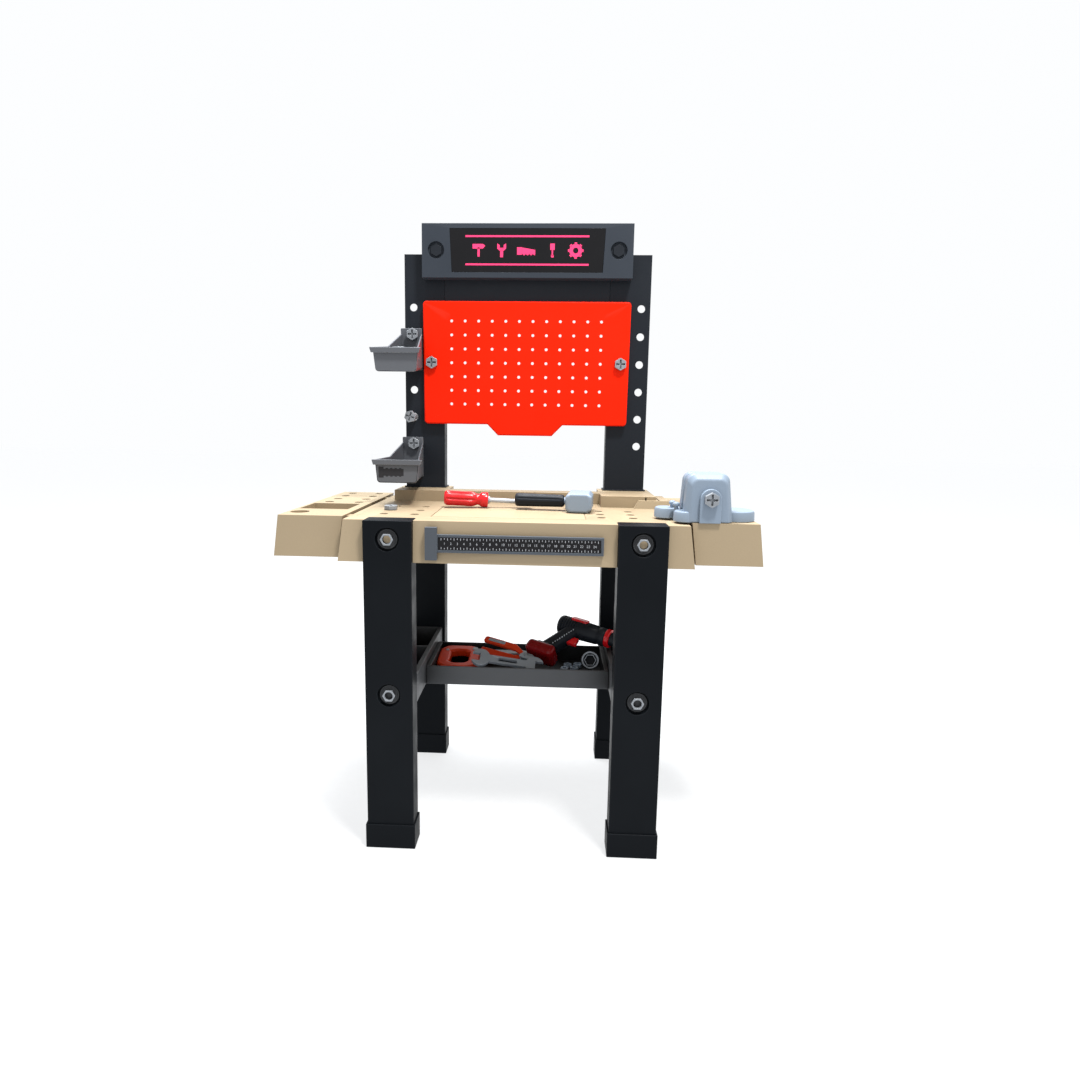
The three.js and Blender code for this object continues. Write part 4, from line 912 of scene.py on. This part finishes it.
def trough(half, base, height, shrink=0.0):
    """One face of a trough: down its left side, round its floor and up its right side; shrink moves it in."""
    radius, steps = BIN_SHAPE["corner"] - shrink, BIN_SHAPE["steps"]
    points = [(-half + shrink, height)]
    for start, x in ((math.pi, -base + shrink + radius), (1.5 * math.pi, base - shrink - radius)):
        for i in range(steps + 1):
            angle = start + i / steps * math.pi / 2
            points.append((x + radius * math.cos(angle), shrink + radius + radius * math.sin(angle)))
    return points + [(half - shrink, height)]


def add_bin(name):
    """A scoop with a front wall and a lip, and the flat plate that its screw goes through."""
    node, wall = f"bin_{name}", BIN_SHAPE["wall"]
    screw = JOINTS[f"bin_screw_{name}_turn"]["pos_m"]
    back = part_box("bin_lower")[1].y
    base = screw[2] - BIN_SHAPE["screw"] * MM
    at = Matrix.Translation((BIN_SHAPE["x"] * MM, back, base)) @ Matrix.Rotation(BIN_DROOP[name], 4, "X")
    scoop = bmesh.new()
    rings = []
    for y, half, foot, height in BIN_SLICES:
        section = trough(half, foot, height) + trough(half, foot, height, shrink=wall)[::-1]
        rings.append(standing(section, y))
    loft(scoop, rings)
    front, half, foot, height = BIN_SLICES[0]
    face = trough(half, foot, height)
    loft(scoop, [standing(face, front), standing(face, front + wall)])
    (low, high), narrow, wide = BIN_LIP["z"], BIN_LIP["base"], BIN_LIP["half"]
    lip = [(narrow, low), (wide, high), (-wide, high), (-narrow, low)]
    loft(scoop, [standing(lip, y) for y in (BIN_LIP["front"], BIN_LIP["rear"])])
    piece(f"{node}_scoop", scoop, node, at, width=0.8, segments=3, stands_in=True)
    plate = bmesh.new()
    height = BIN_SHAPE["height"]
    shape = rounded(2 * BIN_SHAPE["half"], height, radius=2, steps=4, centre=(0, height / 2))
    loft(plate, [standing(shape, y) for y in (-wall, 0)])
    piece(f"{node}_plate", plate, node, at, width=0.6, segments=3)
    return at


def add_bins():
    """Both bins, and a plain dark print in the shape of a screw on the lower one."""
    add_bin("upper")
    at = add_bin("lower")
    shapes = [bar(*BIN_SIGN["head"])]
    for k in range(BIN_SIGN["bars"]):
        x = BIN_SIGN["start"] + BIN_SIGN["step"] * k
        low, high = BIN_SIGN["spans"][k % 2]
        shapes.append(bar((x, low), (x, high), BIN_SIGN["width"]))
    sign = bmesh.new()
    for shape in shapes:
        prism(sign, shape, 0.0, FILM)
    piece("bin_sign", sign, "bin_lower", at @ facing_front(0, BIN_SLICES[0][0], 0), INK)


# ---- screwdriver and hammer ----
# (distance, radius) pairs along each grip, from its end towards the tool's head.
DRIVER_GRIP = (
    (0, 9.0), (1.2, 11.0), (3.5, 12.5), (6, 13), (12, 12.9), (30, 12.7), (46, 12.8), (51, 12.2),
    (55, 10.2), (58, 9.4), (61, 9.8), (64, 12.4), (66, 13), (73.5, 13), (75.3, 12.4), (76, 11),
)
DRIVER_FERRULE = ((75, 6.6), (78.4, 6.6), (79, 6.0))
# (distance, half width, half thickness) of each slice of the stem.
DRIVER_STEM = (
    (31, 4, 4), (124, 4, 4), (128, 4.2, 3.8), (132, 5, 2.9), (136, 6, 2.2), (140, 6.5, 1.9), (150, 6.5, 1.5),
    (151.6, 6.3, 1.3), (152, 6.0, 1.0),
)
STEM = {"radius": 4, "blade": 6.5, "square": 0.55, "sides": 24}
HAMMER_GRIP = ((0, 8.6), (1.2, 10.4), (3.5, 11.4), (8, 11.5), (74, 10.6), (80, 10.6), (82.5, 10.0), (84, 8))
HAMMER_NECK = ((82, 6.4), (98, 6.4), (104, 6.4))
HAMMER_HEAD_AT = 110
HAMMER_FACE = (
    (-22, -10.5), (-16, -16.5), (16, -16.5), (22, -10.5), (22, 10.5), (16, 16.5), (-16, 16.5), (-22, 10.5),
)
HAMMER_SLICES = ((-33, 0.84), (-29.5, 1), (29.5, 1), (33, 0.84))


def driver_slice(along, half, flat):
    """One slice of the screwdriver's stem: round near the grip, and a squarer oval towards the tip."""
    power = 1.0 - STEM["square"] * (half - STEM["radius"]) / (STEM["blade"] - STEM["radius"])
    return [
        (along, half * math.copysign(abs(math.cos(a)) ** power, math.cos(a)), flat * math.sin(a))
        for a in angles(STEM["sides"])
    ]


def add_screwdriver():
    """A fluted grip, a ferrule, and a stem that ends in a flat tip."""
    at = place(*long_axis("driver_handle"))
    grip = bmesh.new()
    turned(grip, DRIVER_GRIP, sides=72, flutes=6, depth=2.6, span=(5, 52))
    piece("driver_grip", grip, "driver_handle", at, stands_in=True)
    ferrule = bmesh.new()
    turned(ferrule, DRIVER_FERRULE)
    piece("driver_ferrule", ferrule, "driver_shaft", at, GREY)
    stem = bmesh.new()
    loft(stem, [driver_slice(*values) for values in DRIVER_STEM])
    piece("driver_stem", stem, "driver_shaft", at, SILVER, stands_in=True)


def add_hammer():
    """A fluted grip, a neck, and a block of a head with cut-off corners and faces."""
    at = place(*long_axis("hammer_handle"))
    grip = bmesh.new()
    turned(grip, HAMMER_GRIP, sides=72, flutes=9, depth=1.3, span=(7, 77))
    piece("hammer_grip", grip, "hammer_handle", at, stands_in=True)
    neck = bmesh.new()
    turned(neck, HAMMER_NECK)
    piece("hammer_neck", neck, "hammer_handle", at, VISE)
    rings = []
    for y, share in HAMMER_SLICES:
        rings.append(standing([(HAMMER_HEAD_AT + share * x, share * z) for x, z in HAMMER_FACE], y))
    head = bmesh.new()
    loft(head, rings)
    piece("hammer_block", head, "hammer_head", at, width=1.8, segments=4, stands_in=True)


# ---- saw ----
SAW = {"width": 76, "depth": 82, "thick": 16, "corner": 22, "tilt": 0.15, "steps": 12}
SAW_HOLE = {"width": 36, "depth": 48, "corner": 13, "shift": 1, "wave": 1.6, "crest": 16, "groove": 12}
SAW_BOLTS = ((66, 68, 5.2, 1.2), (14, 62, 3.4, 0.8))


def add_saw():
    """A closed D grip with finger grooves and two bolts, and the blade."""
    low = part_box("saw_handle")[0]
    width, depth, thick = SAW["width"], SAW["depth"], SAW["thick"]
    origin = Vector((low.x, low.y + thick * MM * math.sin(SAW["tilt"]), low.z))
    at = Matrix.Translation(origin) @ Matrix.Rotation(SAW["tilt"], 4, "X")
    outer = rounded(width, depth, SAW["corner"], SAW["steps"], (width / 2, depth / 2))
    centre = (width / 2 + SAW_HOLE["shift"], depth / 2 - SAW_HOLE["shift"])
    hole = rounded(SAW_HOLE["width"], SAW_HOLE["depth"], SAW_HOLE["corner"], SAW["steps"], centre)
    inner = []
    for x, y in hole:
        wave = SAW_HOLE["wave"] * math.cos((y - SAW_HOLE["crest"]) * TAU / SAW_HOLE["groove"])
        inner.append((x + wave if x < width / 2 else x, y))
    grip = bmesh.new()
    frame_prism(grip, outer, inner, 0, thick)
    piece("saw_grip", grip, "saw_handle", at, width=4.2, segments=4, stands_in=True)
    bolts = bmesh.new()
    for x, y, radius, proud in SAW_BOLTS:
        prism(bolts, circle(radius, 24, (x, y)), thick - 1, thick + proud)
    piece("saw_bolts", bolts, "saw_handle", at, GREY, width=0.5)
    skin("saw_blade", width=0.6)


# ---- pliers ----
PLIERS_TURN = Euler((0.62, 0.1, -0.4))
PLIERS_GRIP = ((-88, 6), (-86.5, 4), (-22, 3), (-8, -2), (-4, 4), (-24, 15), (-84, 16), (-87.5, 14))
PLIERS_JAW = ((-10, -6), (0, -8), (10, -8), (16, -4), (16, -0.6), (2, -0.6), (0, 7.5), (-9, 7))
PLIERS_HALVES = {"upper": (1, 0.15, 7.0), "lower": (-1, -7.0, -0.15)}
JAW_SINK = 0.3
RIDGES = {"count": 7, "start": -78, "step": 4.2, "length": 2, "y": 15.2, "width": 2.2, "low": 1.5, "sink": 1}


def add_pliers():
    """Each half: an orange grip, and a grey jaw a little thinner than it."""
    pivot = Vector(JOINTS["pliers_hinge"]["pos_m"])
    at = Matrix.Translation(pivot) @ PLIERS_TURN.to_matrix().to_4x4()
    for name, (side, low, high) in PLIERS_HALVES.items():
        node = f"pliers_{name}_half"
        grip = bmesh.new()
        prism(grip, mirrored(PLIERS_GRIP, side), low, high)
        piece(f"pliers_{name}_grip", grip, node, at, ORANGE, width=1.8, segments=3, stands_in=True)
        jaw = bmesh.new()
        prism(jaw, mirrored(PLIERS_JAW, side), low + JAW_SINK, high - JAW_SINK)
        piece(f"pliers_{name}_jaw", jaw, node, at, GREY, width=0.8)
        if side > 0:
            add_pliers_trim(node, at, high)


def add_pliers_trim(node, at, top):
    """A grey inlay and a row of ridges on the upper grip, and the pin at the pivot."""
    inlay = bmesh.new()
    prism(inlay, rounded(34, 6, radius=1.4, steps=4, centre=(-62, 10.2)), top - 0.5, top + 0.5)
    piece("pliers_inlay", inlay, node, at, GREY, width=0.3)
    ridges = bmesh.new()
    for k in range(RIDGES["count"]):
        x, y = RIDGES["start"] + RIDGES["step"] * k, RIDGES["y"]
        ridge = bar((x, y), (x + RIDGES["length"], y), RIDGES["width"])
        prism(ridges, ridge, RIDGES["low"], top - RIDGES["sink"])
    piece("pliers_ridges", ridges, node, at, ORANGE, width=0.5)
    pin = bmesh.new()
    prism(pin, circle(3.6, 24), top - 0.5, top + 0.9)
    piece("pliers_pin", pin, node, at, STEEL, width=0.4)


# ---- drill and socket ----
# (distance, radius) pairs along the motor from its back, before and after its cooling slots.
MOTOR_BACK = ((-34, 13.5), (-33, 16.2), (-30.5, 18.2), (-27, 19))
MOTOR_FRONT = ((8, 18.6), (44, 17.2), (46, 15.9), (49, 15.9), (51, 16.9), (61, 16.3), (62, 15.5))
MOTOR_SLOTS = {"count": 6, "start": -25, "step": 5.2}
SLOT_PROFILE = ((0, 19), (0.8, 17.6), (2.4, 17.6), (3.2, 18.9))
ACCENT_TURN = 0.95
DRILL_GRIP = {"rake": 0.42, "top": 8, "length": 62, "width": 32, "depth": 30, "corner": 10, "steps": 8}
GRIP_TAPER = {"waist": 1.6, "depth": 1.5}
GRIP_RIBS = {"count": 7, "start": 0.22, "step": 0.1, "half": 1.4, "shift": -15.5}
GRIP_STUDS = {"count": 10, "start": 0.12, "step": 0.085, "shift": 7, "y": (-15.0, -13.5)}
SOCKET = {"tilt": -0.4, "half": 12}


def drill_frame():
    """The drill's own frame: X along its motor, and Z away from its battery."""
    chuck = JOINTS["drill_chuck_turn"]
    origin = Vector(chuck["pos_m"])
    low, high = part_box("drill_battery")
    return place(origin, chuck["axis"], origin - (low + high) / 2)


def add_drill():
    """The motor's housing with its grip, accent and clip, the battery, and the moving parts."""
    at = drill_frame()
    profile = list(MOTOR_BACK)
    for k in range(MOTOR_SLOTS["count"]):
        start = MOTOR_SLOTS["start"] + MOTOR_SLOTS["step"] * k
        profile += [(start + along, radius) for along, radius in SLOT_PROFILE]
    motor = bmesh.new()
    turned(motor, [*profile, *MOTOR_FRONT], sides=48)
    piece("drill_motor", motor, "drill_housing", at, stands_in=True)
    add_drill_grip(at)
    accent = bmesh.new()
    prism(accent, rounded(34, 15, radius=5, steps=5, centre=(6, 0)), low=14.5, high=20.4)
    up = at @ Matrix.Rotation(ACCENT_TURN, 4, "X")
    piece("drill_accent", accent, "drill_housing", up, RED, width=1.6, segments=3)
    skin("drill_battery", width=8.0, segments=6, material=DEEP_RED)
    clip = bmesh.new()
    prism(clip, rounded(26, 30, radius=4, steps=4, centre=(-35, 0)), low=-64.0, high=-59.0)
    piece("drill_clip", clip, "drill_housing", at, SHELF, width=1.0)
    skin("drill_trigger", width=1.6, segments=3)
    skin("drill_collar", width=1.6, segments=3)
    skin("drill_chuck", width=0.8)


def grip_point(share):
    """The middle of the raked grip at a share of its length."""
    x = -math.tan(DRILL_GRIP["rake"]) * DRILL_GRIP["length"] * share
    return x, -DRILL_GRIP["top"] - (DRILL_GRIP["length"] - DRILL_GRIP["top"]) * share


def add_drill_grip(at):
    """The raked grip, with ribs on its back and a row of studs along its seam, whose grey is a painted
    highlight for the glints along the seam.
    """
    rings = []
    for k in range(DRILL_GRIP["steps"] + 1):
        share = k / DRILL_GRIP["steps"]
        x, z = grip_point(share)
        width = DRILL_GRIP["width"] - GRIP_TAPER["waist"] * math.sin(math.pi * share)
        depth = DRILL_GRIP["depth"] - GRIP_TAPER["depth"] * share
        ring = rounded(width, depth, DRILL_GRIP["corner"], steps=5, centre=(x - share, 0))
        rings.append([(x, y, z) for x, y in ring])
    grip = bmesh.new()
    loft(grip, rings)
    piece("drill_grip", grip, "drill_housing", at)
    ribs = bmesh.new()
    for k in range(GRIP_RIBS["count"]):
        x, z = grip_point(GRIP_RIBS["start"] + GRIP_RIBS["step"] * k)
        rib = rounded(4, 16, radius=1.8, steps=3, centre=(x + GRIP_RIBS["shift"], 0))
        prism(ribs, rib, z - GRIP_RIBS["half"], z + GRIP_RIBS["half"])
    piece("drill_ribs", ribs, "drill_housing", at, width=0.5)
    # The studs' grey colour is a painted highlight for the glints along the grip's seam.
    seam = bmesh.new()
    for k in range(GRIP_STUDS["count"]):
        x, z = grip_point(GRIP_STUDS["start"] + GRIP_STUDS["step"] * k)
        stud = rounded(1.5, 3.0, radius=0.6, steps=2, centre=(x + GRIP_STUDS["shift"], z))
        loft(seam, [standing(stud, y) for y in GRIP_STUDS["y"]])
    piece("drill_seam", seam, "drill_housing", at, GREY)


def add_socket():
    """A socket in a square block, with a bright ring round its mouth and a lip in it."""
    low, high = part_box("socket_driver")
    axis = Vector((0, math.cos(SOCKET["tilt"]), math.sin(SOCKET["tilt"])))
    mouth = (low + high) / 2 - axis * SOCKET["half"] * MM
    at = place(mouth, (1, 0, 0), -axis)
    skin("socket_driver", dissolve=False)
    ring = bmesh.new()
    frame_prism(ring, circle(15.0, 40), circle(12.4, 40), low=-0.8, high=0.5)
    piece("socket_ring", ring, "socket_driver", at, GREY, width=0.4, segments=3)
    lip = bmesh.new()
    frame_prism(lip, circle(10.6, 6), circle(9.4, 6), low=-0.8, high=0.4)
    piece("socket_lip", lip, "socket_driver", at, GREY, width=0.3)


add_bench()
add_pegboard()
add_leg_nuts()
add_label_print()
add_square()
add_vise()
add_bins()
add_screwdriver()
add_hammer()
add_saw()
skin("wrench", width=1.2, segments=3, dissolve=False)
add_pliers()
add_drill()
add_socket()
add_spare_nuts()
add_camera()
add_studio()
add_floor()
